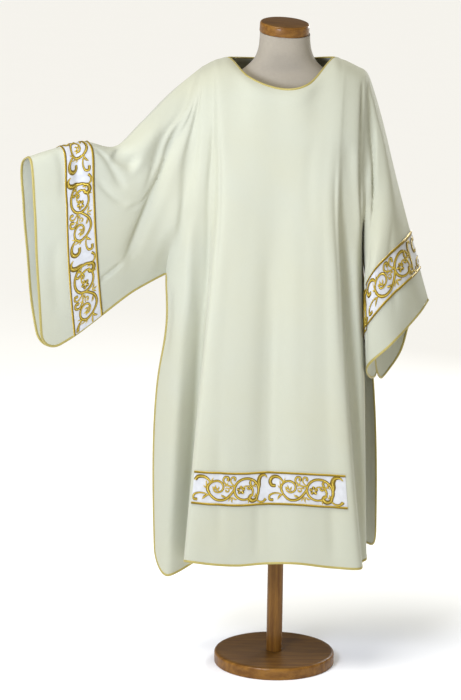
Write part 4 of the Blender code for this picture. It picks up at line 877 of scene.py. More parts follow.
def path_frame(sheet, path):
    """Points along an edge, with the cloth's direction there and the direction into the cloth."""
    points = sheet.points[path]
    normals = sheet.normals[path]
    ahead = np.roll(points, -1, axis=0) - points
    behind = points - np.roll(points, 1, axis=0)
    ahead[-1], behind[0] = behind[-1], ahead[0]
    tangents = units(units(ahead) + units(behind))
    inward = units(np.cross(normals, tangents)) * -sheet.panel.facing
    return points, units(np.cross(tangents, inward) * -sheet.panel.facing), inward


def tube_faces(stations, corners, start=0, closed=False):
    """The faces of a tube of rings, which runs back into itself or has a face over either end."""
    faces = []
    for station in range(stations if closed else stations - 1):
        here = start + station * corners
        there = start + (station + 1) % stations * corners
        faces += [(here + corner, there + corner, there + (corner + 1) % corners,
                   here + (corner + 1) % corners) for corner in range(corners)]
    if not closed:
        last = start + (stations - 1) * corners
        faces.append(tuple(range(start, start + corners)))
        faces.append(tuple(reversed(range(last, last + corners))))
    return faces


def binding_mesh(points, normals, inward, width, wall, closed):
    """A bias binding folded over an edge: points, faces and flat places."""
    outer = [(part * width, height) for part, height in BINDING_SECTION]
    inner = [(part * width, -wall - height) for part, height in reversed(BINDING_SECTION)]
    section = np.array(outer + inner)
    rings = points[:, None] + inward[:, None] * section[:, :1] + normals[:, None] * section[:, 1:]
    places = np.meshgrid(chord_lengths(points), chord_lengths(section), indexing="ij")
    return (rings.reshape(-1, 3), tube_faces(*rings.shape[:2], closed=closed),
            np.stack(places, axis=-1).reshape(-1, 2))


def outward_faces(points, faces):
    """The faces of closed solids, turned round if they enclose a negative volume."""
    fans = [(face[0], second, third) for face in faces for second, third in zip(face[1:], face[2:])]
    first, second, third = (points[corners] - points.mean(axis=0) for corners in np.array(fans).T)
    if (first * np.cross(second, third)).sum() < 0:
        return [face[::-1] for face in faces]
    return faces


class SewnBand:
    """A band on the cloth, as a function of the distance along it and the part across it."""

    def __init__(self, start, end, width):
        self.start = start
        self.end = end
        self.width = width

    def raised(self, distance, part, height):
        """Points that stand off the cloth below the band."""
        distance = np.asarray(distance, float)
        part = np.asarray(part, float)
        on = self.on_cloth(distance, part)
        forward = self.on_cloth(distance + NEAR_ON_BAND, part) - self.on_cloth(distance - NEAR_ON_BAND, part)
        step = NEAR_ON_BAND / self.width
        sideways = self.on_cloth(distance, part + step) - self.on_cloth(distance, part - step)
        normals = units(np.cross(sideways, forward)) * self.turn
        return on + normals * np.asarray(height, float)[..., None]

    def along_ornament(self, repeats, layout):
        """The distance along the band of a number of repeats of the ornament."""
        return layout.phase + self.reading * repeats * layout.repeat_length

    def repeats(self, layout):
        """The whole numbers of the repeats that touch the band."""
        first, last = sorted((end - layout.phase) / layout.repeat_length * self.reading
                             for end in (self.start, self.end))
        return range(int(np.floor(first + REPEAT_SLIVER)), int(np.ceil(last - REPEAT_SLIVER)))


BandSide = namedtuple("BandSide", "panel first last lengths")


class SleeveBand(SewnBand):
    """A band over a sleeve; the distance is 0 at the overarm and grows down the front."""

    turn = -1.0
    reading = -1.0

    def __init__(self, front, back, rib):
        self.rows = np.linspace(0.0, ARMPIT_ROW, BAND_ROWS)
        self.sides = []
        for panel in (front, back):
            first, last = panel.knots[rib:rib + 2]
            middle = panel.points(np.full(BAND_ROWS, (first + last) / 2), self.rows)
            self.sides.append(BandSide(panel, first, last, chord_lengths(middle)))
        ahead, behind = (side.lengths[-1] for side in self.sides)
        super().__init__(BAND_END - behind, ahead - BAND_END, BAND_WIDTH)

    def on_cloth(self, distance, part):
        """Points of the cloth below the band."""
        points = np.empty((len(distance), 3))
        for here, side in zip((distance >= 0, distance < 0), self.sides):
            if here.any():
                row = np.interp(np.abs(distance[here]), side.lengths, self.rows)
                across = side.first + (side.last - side.first) * part[here]
                points[here] = side.panel.points(across, row)
        return points


class HemBand(SewnBand):
    """The short band above the hem; the distance grows to the right."""

    turn = 1.0
    reading = 1.0

    def __init__(self, front):
        self.panel = front
        self.first = front.knots[front.left_edge + HEM_BAND_LEFT_RIB]
        last = front.knots[front.left_edge + HEM_BAND_RIGHT_RIB]
        beside = front.knots[front.left_edge + HEM_BAND_RIGHT_RIB - 1]
        super().__init__(0.0, last - (last - beside) / HEM_BAND_COLUMNS - self.first, BAND_WIDTH)
        self.bottom_row = HEM_ROW - BAND_ABOVE_HEM / SKIRT_LENGTH
        self.top_row = self.bottom_row - BAND_WIDTH / SKIRT_LENGTH

    def on_cloth(self, distance, part):
        """Points of the cloth below the band."""
        rows = self.top_row + (self.bottom_row - self.top_row) * part
        return self.panel.points(self.first + distance, rows)


def band_ground(band, step, height, wall):
    """The satin strip of a band: points, faces and flat places of a thin closed wall."""
    along_count = int(round((band.end - band.start) / step))
    across_count = int(round(band.width / step))
    distance, part = np.meshgrid(np.linspace(band.start, band.end, along_count + 1),
                                 np.linspace(0.0, 1.0, across_count + 1), indexing="ij")
    distance, part = distance.ravel(), part.ravel()
    top = band.raised(distance, part, np.full(len(distance), height + wall))
    bottom = band.raised(distance, part, np.full(len(distance), height))
    number = np.arange(len(distance)).reshape(along_count + 1, across_count + 1)
    points, faces = closed_shell(top, (top - bottom) / wall, grid_quads(number.T), wall)
    places = np.tile(np.stack([distance, part * band.width], axis=1), (2, 1))
    return points, faces, places


def stroke_widths(t, start, middle, end):
    """The width along a stroke that swells or narrows in its middle."""
    return start + (end - start) * t + (middle - (start + end) / 2) * np.sin(pi * t)


def ornament_strokes():
    """One repeat of the ornament: for each stroke its points and widths, in millimetres."""
    strokes = []
    for scroll in SCROLLS:
        t = np.linspace(0.0, 1.0, int(abs(scroll.sweep) / SCROLL_STEP) + 1)
        power = SCROLL_POWER if scroll.end_radius > scroll.start_radius else 1 / SCROLL_POWER
        radius = scroll.start_radius + (scroll.end_radius - scroll.start_radius) * t ** power
        turn = np.radians(scroll.start_turn + scroll.sweep * t)
        line = np.stack([scroll.x + radius * np.cos(turn),
                         scroll.y + radius * np.sin(turn) * SCROLL_SQUASH], axis=1)
        strokes.append((line, stroke_widths(t, scroll.start_width, scroll.width, scroll.end_width)))
    for sprig in SPRIGS:
        lengths = chord_lengths(sprig.points)
        t = np.linspace(0.0, 1.0, max(SPRIG_LEAST, int(lengths[-1] / SPRIG_STEP)) + 1)
        line = through(lengths, sprig.points, t * lengths[-1])
        strokes.append((line, stroke_widths(t, sprig.start_width, sprig.width, sprig.end_width)))
    for flower in FLOWERS:
        for petal in range(flower.petals):
            turn = radians(flower.turn) + tau * petal / flower.petals
            t = np.linspace(0.0, 1.0, SPRIG_LEAST + 1)
            reach = flower.inner + (flower.outer - flower.inner) * t
            line = np.stack([flower.x + reach * cos(turn), flower.y + reach * sin(turn)], axis=1)
            strokes.append((line, flower.width * np.sqrt(np.sin(pi * (PETAL_START + PETAL_SPAN * t)))))
    return strokes


def rounded_stroke(line, widths):
    """A stroke with a round end added at either end."""
    ahead = units(np.gradient(line, axis=0))
    turns = np.radians(STROKE_END_TURNS)
    first = [line[0] - ahead[0] * widths[0] / 2 * sin(turn) for turn in turns]
    last = [line[-1] + ahead[-1] * widths[-1] / 2 * sin(turn) for turn in turns[::-1]]
    narrowed = [widths[0] * cos(turn) for turn in turns], [widths[-1] * cos(turn) for turn in turns[::-1]]
    return np.concatenate([first, line, last]), np.concatenate([narrowed[0], widths, narrowed[1]])


def cords_on_edges(band, settings, base):
    """A cord along both edges of a band: points, faces and flat places."""
    count = int((band.end - band.start) / CORD_STEP) + 1
    distance = np.repeat(np.linspace(band.start, band.end, count), CORD_SIDES)
    turns = np.tile(np.linspace(0.0, tau, CORD_SIDES, endpoint=False), count)
    radius = settings.cord_width / 2
    height = base + radius * CORD_FLATNESS * (1.0 + np.sin(turns))
    over = radius * np.sin(turns / 2)
    points, faces, places = [], [], []
    for side in (1, -1):
        part = 0.5 - (side * BORDER_Y * MILLIMETRE + radius * np.cos(turns)) / band.width
        faces += tube_faces(count, CORD_SIDES, len(points) * count * CORD_SIDES)
        points.append(band.raised(distance, part, height))
        places.append(np.stack([distance, over], axis=1))
    return np.concatenate(points), faces, np.concatenate(places)


def longest_run(wanted):
    """The indices of the longest unbroken run of wanted stations."""
    found = np.flatnonzero(wanted)
    return max(np.split(found, np.flatnonzero(np.diff(found) > 1) + 1), key=len)


def stitched_strokes(band, layout, strokes, settings, base):
    """Every stroke of the ornament on a band as padded satin stitch: points, faces and flat places."""
    rows = np.array(STITCH_ROWS)
    dome = np.sqrt(1.0 - rows ** 2)
    distances, parts, heights, places, faces = [], [], [], [], []
    count = 0
    for repeat in band.repeats(layout):
        for line, widths in strokes:
            ahead = units(np.gradient(line, axis=0))
            half = widths[:, None] / 2 * settings.stroke_scale
            x = line[:, :1] - ahead[:, 1:] * half * rows
            y = line[:, 1:] + ahead[:, :1] * half * rows
            distance = band.along_ornament(x / REPEAT + repeat, layout)
            run = longest_run(((distance > band.start) & (distance < band.end)).all(axis=1))
            if len(run) < LEAST_STATIONS:
                continue
            swell = np.minimum(half[run] * 2 * MILLIMETRE * STITCH_FULLNESS, settings.stitch_height)
            along = np.broadcast_to(chord_lengths(line[run])[:, None] * MILLIMETRE, (len(run), len(rows)))
            distances.append(distance[run].ravel())
            parts.append(0.5 - y[run].ravel() * MILLIMETRE * ORNAMENT_SQUEEZE / band.width)
            heights.append((base + swell * dome).ravel())
            places.append(np.stack([along, half[run] * rows * MILLIMETRE], axis=-1).reshape(-1, 2))
            faces += tube_faces(len(run), len(rows), count)
            count += len(run) * len(rows)
    points = band.raised(np.concatenate(distances), np.concatenate(parts), np.concatenate(heights))
    return points, faces, np.concatenate(places)


class Value:
    """A shader socket; Python's operators on it add its Math nodes."""

    def __init__(self, finish, socket):
        self.finish = finish
        self.socket = socket

    def maths(self, operation, *others):
        """This value and others through one Math node."""
        return self.finish.node("ShaderNodeMath", {"operation": operation}, dict(enumerate(others))).value()

    def __add__(self, other):
        return self.maths("ADD", self, other)

    def __radd__(self, other):
        return self.maths("ADD", other, self)

    def __sub__(self, other):
        return self.maths("SUBTRACT", self, other)

    def __rsub__(self, other):
        return self.maths("SUBTRACT", other, self)

    def __mul__(self, other):
        return self.maths("MULTIPLY", self, other)

    def __rmul__(self, other):
        return self.maths("MULTIPLY", other, self)

    def sine(self):
        """The sine of this value."""
        return self.maths("SINE", self)

    def absolute(self):
        """This value without its sign."""
        return self.maths("ABSOLUTE", self)

    def rise(self, start, end):
        """0 up to start, 1 from end and a smooth rise between."""
        settings = {"interpolation_type": "SMOOTHSTEP"}
        return self.finish.node("ShaderNodeMapRange", settings, {0: self, 1: start, 2: end}).value()


class Node:
    """A shader node, whose outputs are values."""

    def __init__(self, finish, node):
        self.finish = finish
        self.node = node

    def value(self, output=0):
        """One of the node's outputs."""
        return Value(self.finish, self.node.outputs[output])


class Finish:
    """A material for one kind of surface."""

    def __init__(self, name, constants):
        self.material = bpy.data.materials.new(name)
        self.material.use_nodes = True
        self.tree = self.material.node_tree
        self.shader = self.tree.nodes["Principled BSDF"]
        for socket, constant in constants.items():
            self.shader.inputs[socket].default_value = constant

    def node(self, kind, settings, values):
        """A node with its settings, then the values or links of its sockets."""
        node = self.tree.nodes.new(kind)
        for setting, choice in settings.items():
            setattr(node, setting, choice)
        for socket, value in values.items():
            self.plug(node.inputs[socket], value)
        return Node(self, node)

    def plug(self, socket, value):
        """Link a value to a socket, or set it there."""
        if isinstance(value, Value):
            self.tree.links.new(value.socket, socket)
        else:
            socket.default_value = value

    def set(self, **values):
        """Link or set the shader's sockets, named with underscores for spaces."""
        for socket, value in values.items():
            self.plug(self.shader.inputs[socket.replace("_", " ")], value)
        return self.material

    def place(self):
        """The object's own coordinates."""
        return self.node("ShaderNodeTexCoord", {}, {}).value("Object")

    def flat_place(self):
        """The two numbers of the piece's flat place, in metres."""
        flat = self.node("ShaderNodeUVMap", {"uv_map": "flat"}, {}).value()
        spread = self.node("ShaderNodeSeparateXYZ", {}, {0: flat})
        return spread.value(0), spread.value(1)

    def noise(self, place, scale, detail=2.0):
        """Cloudy noise from 0 to 1."""
        values = {"Vector": place, "Scale": scale, "Detail": detail}
        return self.node("ShaderNodeTexNoise", {}, values).value("Fac")

    def stretched(self, place, scale):
        """A place scaled by a different amount along each axis."""
        return self.node("ShaderNodeMapping", {}, {"Vector": place, "Scale": scale}).value()

    def joined(self, x, y, z=0.0):
        """A place made of three numbers."""
        return self.node("ShaderNodeCombineXYZ", {}, {0: x, 1: y, 2: z}).value()

    def mix(self, part, first, second):
        """The first colour where part is 0 and the second where it is 1."""
        return self.node("ShaderNodeMix", {"data_type": "RGBA"}, {0: part, 6: first, 7: second}).value(2)

    def shades(self, part, colour, dark):
        """A colour where part is 1, scaled towards black by `dark` where it is 0."""
        return self.mix(part, darker(colour, dark), opaque(colour))

    def threads(self, pitch, slub_scales, shares):
        """The height, from 0 to 1, of plain-woven threads that are thick and thin."""
        weft, warp = self.flat_place()
        turn = tau / pitch
        weave = (weft * turn).sine() * (warp * turn).sine() * 0.5 + 0.5
        flat = self.joined(weft, warp)
        slubs = [self.noise(self.stretched(flat, (*scale, 1.0)), 1.0) for scale in slub_scales]
        return weave * shares[0] + slubs[0] * shares[1] + slubs[1] * shares[2]

    def bump(self, height, distance, strength=1.0):
        """A direction for the shader from a height of 0 to 1 over a distance in metres."""
        values = {"Height": height, "Distance": distance, "Strength": strength}
        return self.node("ShaderNodeBump", {}, values).value()


def opaque(colour):
    """A colour with its alpha."""
    return (*colour, 1.0)


def darker(colour, part):
    """A colour scaled towards black."""
    return tuple(channel * part for channel in colour) + (1.0,)


def cream_cloth(settings):
    """Fine matt worsted in a plain weave, a little slubby, with a soft nap."""
    finish = Finish("cream_worsted", {"Sheen Weight": 0.18, "Sheen Roughness": 0.45,
                                      "Specular IOR Level": 0.28})
    threads = finish.threads(settings.thread_pitch, ((60.0, 900.0), (900.0, 70.0)), (0.45, 0.30, 0.25))
    clouds = finish.noise(finish.place(), 5.0, 3.0)
    shade = finish.shades(threads.rise(0.25, 0.75), settings.cream, 0.93)
    warm = tuple(channel * tint for channel, tint in zip(settings.cream, WARM_CLOUDS))
    tone = finish.mix(clouds.rise(0.35, 0.75) * 0.5, shade, opaque(warm))
    return finish.set(Base_Color=tone, Roughness=0.86 - threads * 0.10,
                      Normal=finish.bump(threads, settings.thread_pitch * 0.30, 0.55))


def gold_binding(settings):
    """Woven gold satin folded over the edges, with a row of stitches near its inner edge."""
    finish = Finish("gold_satin_binding", {"Specular IOR Level": 0.5, "Sheen Weight": 0.1})
    along_edge, around = finish.flat_place()
    ribs = (along_edge * (tau / BINDING_RIB[0]) + around * (tau / BINDING_RIB[1])).sine() * 0.5 + 0.5
    ripple = finish.noise(finish.joined(along_edge * 260.0, around * 90.0), 1.0)
    stitches = (along_edge * (tau / BINDING_STITCH)).sine().rise(-0.35, 0.25)
    groove = (1.0 - (around - BINDING_SEAM).absolute().rise(0.0002, 0.0007)) * stitches
    height = ribs * 0.25 + ripple * 0.45 + (1.0 - groove) * 0.30
    colour = finish.shades(height.rise(0.3, 0.9), settings.binding_gold, 0.72)
    return finish.set(Base_Color=colour, Roughness=0.48 - ripple * 0.14, Metallic=0.18,
                      Normal=finish.bump(height, 0.00035, 0.7))


def white_satin(settings):
    """White satin whose floats run along the band, faintly figured."""
    finish = Finish("white_satin", {"Specular IOR Level": 0.55, "Sheen Weight": 0.12, "Coat Roughness": 0.35})
    along_band, across_band = finish.flat_place()
    floats = finish.noise(finish.joined(along_band * 420.0, across_band * 2600.0), 1.0)
    puckers = finish.noise(finish.joined(along_band * 90.0, across_band * 55.0), 1.0, 3.0)
    height = floats * 0.35 + puckers * 0.65
    colour = finish.shades(puckers.rise(0.35, 0.7), settings.satin, 0.90)
    return finish.set(Base_Color=colour, Roughness=0.34 + floats * 0.14,
                      Normal=finish.bump(height, 0.0006, 0.5))


def gold_stitching(settings, name, slant):
    """Gold thread laid side by side across each stroke, or twisted along a cord, with a painted shade at its
    edges and a painted highlight along its crest.
    """
    finish = Finish(name, {"Specular IOR Level": 0.6, "Anisotropic": 0.3})
    along_stroke, over = finish.flat_place()
    turn = tau / settings.stitch_pitch
    threads = (along_stroke * turn + over * (turn * slant)).sine()
    uneven = finish.noise(finish.joined(along_stroke * 700.0, over * 120.0), 1.0)
    height = threads * 0.35 + 0.35 + uneven * 0.30
    # A painted shade darkens the edges of each stroke and cord, and a painted highlight lightens its crest
    edge = over.absolute().rise(*PAINTED_EDGE_SHADE_SPAN)
    crest = 1.0 - over.absolute().rise(*PAINTED_HIGHLIGHT_SPAN)
    thread = finish.shades(height.rise(0.25, 0.8), settings.thread_gold, 0.70)
    highlighted = finish.mix(crest * 0.65, thread, opaque(settings.thread_shine))
    colour = finish.mix(edge * 0.8, highlighted, darker(settings.thread_gold, 0.28))
    return finish.set(Base_Color=colour, Roughness=0.30 + uneven * 0.12, Metallic=0.55,
                      Normal=finish.bump(height, 0.00030, 0.8))


def linen(settings):
    """Natural linen in a coarse plain weave."""
    finish = Finish("natural_linen", {"Specular IOR Level": 0.25, "Sheen Weight": 0.15})
    threads = finish.threads(LINEN_PITCH, ((45.0, 700.0), (700.0, 50.0)), (0.4, 0.35, 0.25))
    colour = finish.shades(threads.rise(0.3, 0.7), settings.linen, 0.80)
    soil = finish.noise(finish.place(), 14.0, 3.0).rise(0.45, 0.8) * 0.25
    return finish.set(Base_Color=finish.mix(soil, colour, darker(settings.linen, 0.7)),
                      Roughness=0.9 - threads * 0.08, Normal=finish.bump(threads, 0.0004, 0.6))


def stained_wood(name, settings, grain_scale):
    """Varnished beech: long grain, a painted shade on the flat tops, and a clear gloss."""
    finish = Finish(name, {"Coat Roughness": 0.16, "Specular IOR Level": 0.12})
    place = finish.place()
    grain = finish.noise(finish.stretched(place, grain_scale), 1.0, 4.0)
    pores = finish.noise(finish.stretched(place, tuple(axis * PORES for axis in grain_scale)), 1.0)
    streaks = grain * 0.7 + pores * 0.3
    # Where the surface faces up, a painted shade darkens both grain colours
    upward = finish.node("ShaderNodeTexCoord", {}, {}).value("Normal")
    on_top = finish.node("ShaderNodeSeparateXYZ", {}, {0: upward}).value(2).rise(0.70, 0.97)
    side, top = (finish.mix(streaks.rise(0.32, 0.72), darker(settings.wood_dark, shade),
                            darker(settings.wood_light, shade)) for shade in (1.0, TOP_PAINTED_SHADE))
    return finish.set(Base_Color=finish.mix(on_top, side, top), Roughness=0.36 + pores * 0.14,
                      Coat_Weight=0.22 - on_top * 0.20, Normal=finish.bump(streaks, 0.0003, 0.35))


def pale_floor(settings):
    """A plain pale floor."""
    finish = Finish("pale_floor", {"Specular IOR Level": 0.1})
    speckle = finish.noise(finish.place(), 3.0)
    return finish.set(Base_Color=finish.shades(speckle, settings.floor, 0.99), Roughness=0.95)


class ClothSettings(bpy.types.PropertyGroup):
    """Sizes and colours of the cloth and its binding."""

    grid_step: FloatProperty(name="Grid step", description="Size of the cloth's mesh cells",
                             default=0.0054, min=0.003, unit="LENGTH")
    wall: FloatProperty(name="Cloth thickness", description="Thickness of the worsted and its facing",
                        default=0.0014, min=0.0005, unit="LENGTH")
    trim: FloatProperty(name="Trim", description="How far the cloth ends inside its binding",
                        default=0.0012, unit="LENGTH")
    binding_width: FloatProperty(name="Binding width", description="Width of the bias binding on each face",
                                 default=0.006, unit="LENGTH")
    thread_pitch: FloatProperty(name="Thread pitch", description="Distance between two equal threads",
                                default=0.0011, unit="LENGTH")
    cream: FloatVectorProperty(name="Cream", description="Colour of the worsted", subtype="COLOR",
                               default=(0.498, 0.505, 0.392), min=0.0, max=1.0)
    binding_gold: FloatVectorProperty(name="Binding gold", description="Colour of the bias binding",
                                      subtype="COLOR", default=(0.45, 0.37, 0.10), min=0.0, max=1.0)


class BandSettings(bpy.types.PropertyGroup):
    """Sizes and colours of the bands and their embroidery."""

    ground_step: FloatProperty(name="Grid step", description="Size of the satin's mesh cells",
                               default=0.0045, unit="LENGTH")
    ground_height: FloatProperty(name="Height", description="Height of the satin's underside over the cloth",
                                 default=0.0004, unit="LENGTH")
    ground_wall: FloatProperty(name="Satin thickness", description="Thickness of the satin and its backing",
                               default=0.0008, unit="LENGTH")
    cord_width: FloatProperty(name="Cord width", description="Width of the cord along both edges",
                              default=0.0058, unit="LENGTH")
    stroke_scale: FloatProperty(name="Stroke scale", description="How boldly the strokes are stitched",
                                default=1.75, min=0.5, max=2.5)
    stitch_height: FloatProperty(name="Stitch height", description="Most that the padded stitches stand up",
                                 default=0.0022, unit="LENGTH")
    stitch_pitch: FloatProperty(name="Stitch pitch", description="Distance between two gold threads",
                                default=0.0006, unit="LENGTH")
    satin: FloatVectorProperty(name="Satin", description="Colour of the satin ground", subtype="COLOR",
                               default=(0.60, 0.605, 0.60), min=0.0, max=1.0)
    thread_gold: FloatVectorProperty(name="Thread gold", description="Colour of the gold thread",
                                     subtype="COLOR", default=(0.46, 0.30, 0.012), min=0.0, max=1.0)
    # The colour of the painted highlight along each stroke's crest
    thread_shine: FloatVectorProperty(name="Thread shine", description="Colour on the crest of a stroke",
                                      subtype="COLOR", default=(0.80, 0.62, 0.10), min=0.0, max=1.0)


class FormSettings(bpy.types.PropertyGroup):
    """Sizes and colours of the dress form."""

    sides: IntProperty(name="Sides", description="Sides of the turned wood and the torso",
                       default=96, min=24)
    rim: FloatProperty(name="Rim radius", description="Rounding of the wood's rims",
                       default=0.007, unit="LENGTH")
    linen: FloatVectorProperty(name="Linen", description="Colour of the torso's cover", subtype="COLOR",
                               default=(0.39, 0.345, 0.265), min=0.0, max=1.0)
    wood_light: FloatVectorProperty(name="Light wood", description="Light grain of the varnished wood",
                                    subtype="COLOR", default=(0.27, 0.125, 0.020), min=0.0, max=1.0)
    wood_dark: FloatVectorProperty(name="Dark wood", description="Dark grain of the varnished wood",
                                   subtype="COLOR", default=(0.14, 0.055, 0.008), min=0.0, max=1.0)


class StageSettings(bpy.types.PropertyGroup):
    """The floor, the lights and the camera."""

    floor: FloatVectorProperty(name="Floor", description="Colour of the floor", subtype="COLOR",
                               default=(0.95, 0.95, 0.95), min=0.0, max=1.0)
    floor_radius: FloatProperty(name="Floor radius", description="Radius of the round floor",
                                default=60.0, unit="LENGTH")
    sky: FloatProperty(name="Sky", description="Strength of the even light", default=0.35, min=0.0)
    key: FloatProperty(name="Key", description="Strength of the soft light from above", default=2.2, min=0.0)
    lamp: FloatProperty(name="Lamp", description="Power of the soft box at the left", default=24.5, min=0.0)
    rear_lamp: FloatProperty(name="Rear lamp", description="Power of the soft box behind",
                             default=55.0, min=0.0)
    lens: FloatProperty(name="Lens", description="Focal length", default=137.36, unit="CAMERA")


def finish_named(name, make, *settings):
    """The finish with this name, made if it isn't there yet."""
    return bpy.data.materials.get(name) or make(*settings)


class DALMATIC_OT_cloth(bpy.types.Operator):
    """Build the front and the back, each a thin shell over its solid"""

    bl_idname = "dalmatic.cloth"
    bl_label = "Front and back"

    def execute(self, context):
        settings = context.scene.dalmatic_cloth
        finish = finish_named("cream_worsted", cream_cloth, settings)
        for sheet, name in zip(cloth_sheets(settings.grid_step), ("front", "back")):
            trimmed = sheet.points.copy()
            for path in (sheet.bound_path(), sheet.neck_path()):
                trimmed[path] += path_frame(sheet, path)[2] * settings.trim
            points, faces = closed_shell(trimmed, sheet.normals, sheet.quads, settings.wall)
            piece = add_mesh(name + "_cloth", points, faces, np.tile(sheet.flat, (2, 1)), finish)
            dress(piece, "cream_cloth", name + "_panel")
        return {"FINISHED"}


class DALMATIC_OT_bindings(bpy.types.Operator):
    """Fold the gold binding over the edges of the front, the back and the neck"""

    bl_idname = "dalmatic.bindings"
    bl_label = "Bindings"

    def execute(self, context):
        settings = context.scene.dalmatic_cloth
        finish = finish_named("gold_satin_binding", gold_binding, settings)
        front, back = cloth_sheets(settings.grid_step)
        for sheet, name in ((front, "front_edge_binding"), (back, "back_edge_binding")):
            self.bind(name, path_frame(sheet, sheet.bound_path()), False, finish, settings)
        halves = zip(path_frame(front, front.neck_path()), path_frame(back, back.neck_path()))
        edge = [np.concatenate([ahead, behind[-2:0:-1]]) for ahead, behind in halves]
        self.bind("neck_binding", edge, True, finish, settings)
        return {"FINISHED"}

    def bind(self, name, edge, closed, finish, settings):
        """Add one binding as a piece."""
        solid = binding_mesh(*edge, settings.binding_width, settings.wall, closed)
        piece = add_mesh("bias_" + name, *solid, finish)
        dress(piece, "gold_binding", name)


@cache
def sewn_bands():
    """Each band on the cloth, with its layout of the ornament."""
    front, back = both_panels()
    return ((SleeveBand(front, back, LEFT_SLEEVE_BAND_RIB), LEFT_BAND),
            (SleeveBand(front, back, front.right_edge + RIGHT_SLEEVE_BAND_RIB), RIGHT_BAND),
            (HemBand(front), HEM_BAND))


class DALMATIC_OT_bands(bpy.types.Operator):
    """Lay the satin strips on the sleeves and above the hem"""

    bl_idname = "dalmatic.bands"
    bl_label = "Satin bands"

    def execute(self, context):
        settings = context.scene.dalmatic_bands
        finish = finish_named("white_satin", white_satin, settings)
        for band, layout in sewn_bands():
            solid = band_ground(band, settings.ground_step, settings.ground_height, settings.ground_wall)
            dress(add_mesh("satin_" + layout.name, *solid, finish), "white_satin_band", layout.name)
        return {"FINISHED"}


class DALMATIC_OT_embroidery(bpy.types.Operator):
    """Stitch the scrolling ornament and lay the cords along both edges of each band"""

    bl_idname = "dalmatic.embroidery"
    bl_label = "Embroidery and cords"

    def execute(self, context):
        settings = context.scene.dalmatic_bands
        stitching = finish_named("gold_satin_stitch", gold_stitching, settings, "gold_satin_stitch", 0.0)
        cord = finish_named("gold_twisted_cord", gold_stitching, settings, "gold_twisted_cord", CORD_SLANT)
        base = settings.ground_height + settings.ground_wall - SUNK_STITCH
        strokes = [rounded_stroke(*stroke) for stroke in ornament_strokes()]
        for band, layout in sewn_bands():
            stitches = stitched_strokes(band, layout, strokes, settings, base)
            dress(add_mesh("scrolls_" + layout.name, *stitches, stitching), "gold_binding")
            cords = cords_on_edges(band, settings, base)
            dress(add_mesh("cords_" + layout.name, *cords, cord), "gold_binding")
        return {"FINISHED"}


def torso_mesh(sides):
    """The linen torso: smooth rings of a squared ellipse, closed at both ends, and their flat places."""
    heights = np.array([ring.z for ring in TORSO])
    sizes = np.array([(ring.half_width, ring.half_depth, ring.centre_y) for ring in TORSO])
    levels = np.linspace(heights[0], heights[-1], TORSO_RINGS)
    rings = through(heights, sizes, levels)
    turns = np.linspace(0.0, tau, sides, endpoint=False)
    power = 2 / TORSO_SQUARENESS
    across = np.sign(np.cos(turns)) * np.abs(np.cos(turns)) ** power
    deep = np.sign(np.sin(turns)) * np.abs(np.sin(turns)) ** power
    x = rings[:, :1] * across
    y = rings[:, 2:] + rings[:, 1:2] * deep
    z = np.broadcast_to(levels[:, None], x.shape).copy()
    tilt = y[-1] * sin(radians(CAP_TILT_FRONT)) - (x[-1] - CAP_CENTRE[0]) * sin(radians(CAP_TILT_SIDE))
    leaning = ramp(levels, TORSO_NECK_Z, heights[-1])[:, None]
    z += leaning * (tilt - CAP_SEAT)
    places = np.stack([np.broadcast_to(turns * TORSO_GIRTH, x.shape), z], axis=-1).reshape(-1, 2)
    return np.stack([x, y, z], axis=-1).reshape(-1, 3), tube_faces(TORSO_RINGS, sides), places


class DALMATIC_OT_torso(bpy.types.Operator):
    """Cover the limbless torso in linen"""

    bl_idname = "dalmatic.torso"
    bl_label = "Linen torso"

    def execute(self, context):
        settings = context.scene.dalmatic_form
        finish = finish_named("natural_linen", linen, settings)
        dress(add_mesh("linen_torso", *torso_mesh(settings.sides), finish), "linen", "form_torso")
        return {"FINISHED"}


def name_and_apply(name):
    """Name the primitive just added and put its place into its mesh."""
    item = bpy.context.active_object
    item.name = item.data.name = name
    bpy.ops.object.transform_apply(location=True, rotation=False, scale=False)
    return item


def cylinder(name, sides, radius, low, high):
    """An upright cylinder between two heights, open for editing."""
    bpy.ops.object.select_all(action="DESELECT")
    bpy.ops.mesh.primitive_cylinder_add(vertices=sides, radius=radius, depth=high - low,
                                        location=(0, 0, (low + high) / 2))
    item = name_and_apply(name)
    bpy.ops.object.mode_set(mode="EDIT")
    return item


def leave_smooth(item):
    """Close the editing of a turned piece and shade its curves smooth."""
    bpy.ops.object.mode_set(mode="OBJECT")
    bpy.ops.object.shade_smooth_by_angle(angle=radians(TURNED_SHARP_ANGLE))
    return item


def round_rim(item, wanted, offset, segments):
    """Bevel the edges whose middle is wanted."""
    shape = bmesh.from_edit_mesh(item.data)
    bpy.ops.mesh.select_all(action="DESELECT")
    bpy.ops.mesh.select_mode(type="EDGE")
    for edge in shape.edges:
        edge.select = wanted((edge.verts[0].co + edge.verts[1].co) / 2)
    bmesh.update_edit_mesh(item.data)
    bpy.ops.mesh.bevel(offset=offset, segments=segments, profile=0.5, affect="EDGES")


def inset_top(item, thickness, drop):
    """Set a faint step into the top face."""
    shape = bmesh.from_edit_mesh(item.data)
    bpy.ops.mesh.select_all(action="DESELECT")
    bpy.ops.mesh.select_mode(type="FACE")
    for face in shape.faces:
        face.select = face.normal.z > UPWARD
    bmesh.update_edit_mesh(item.data)
    bpy.ops.mesh.inset(thickness=thickness, depth=0.0)
    bpy.ops.mesh.inset(thickness=thickness * STEP_WALL, depth=-drop)


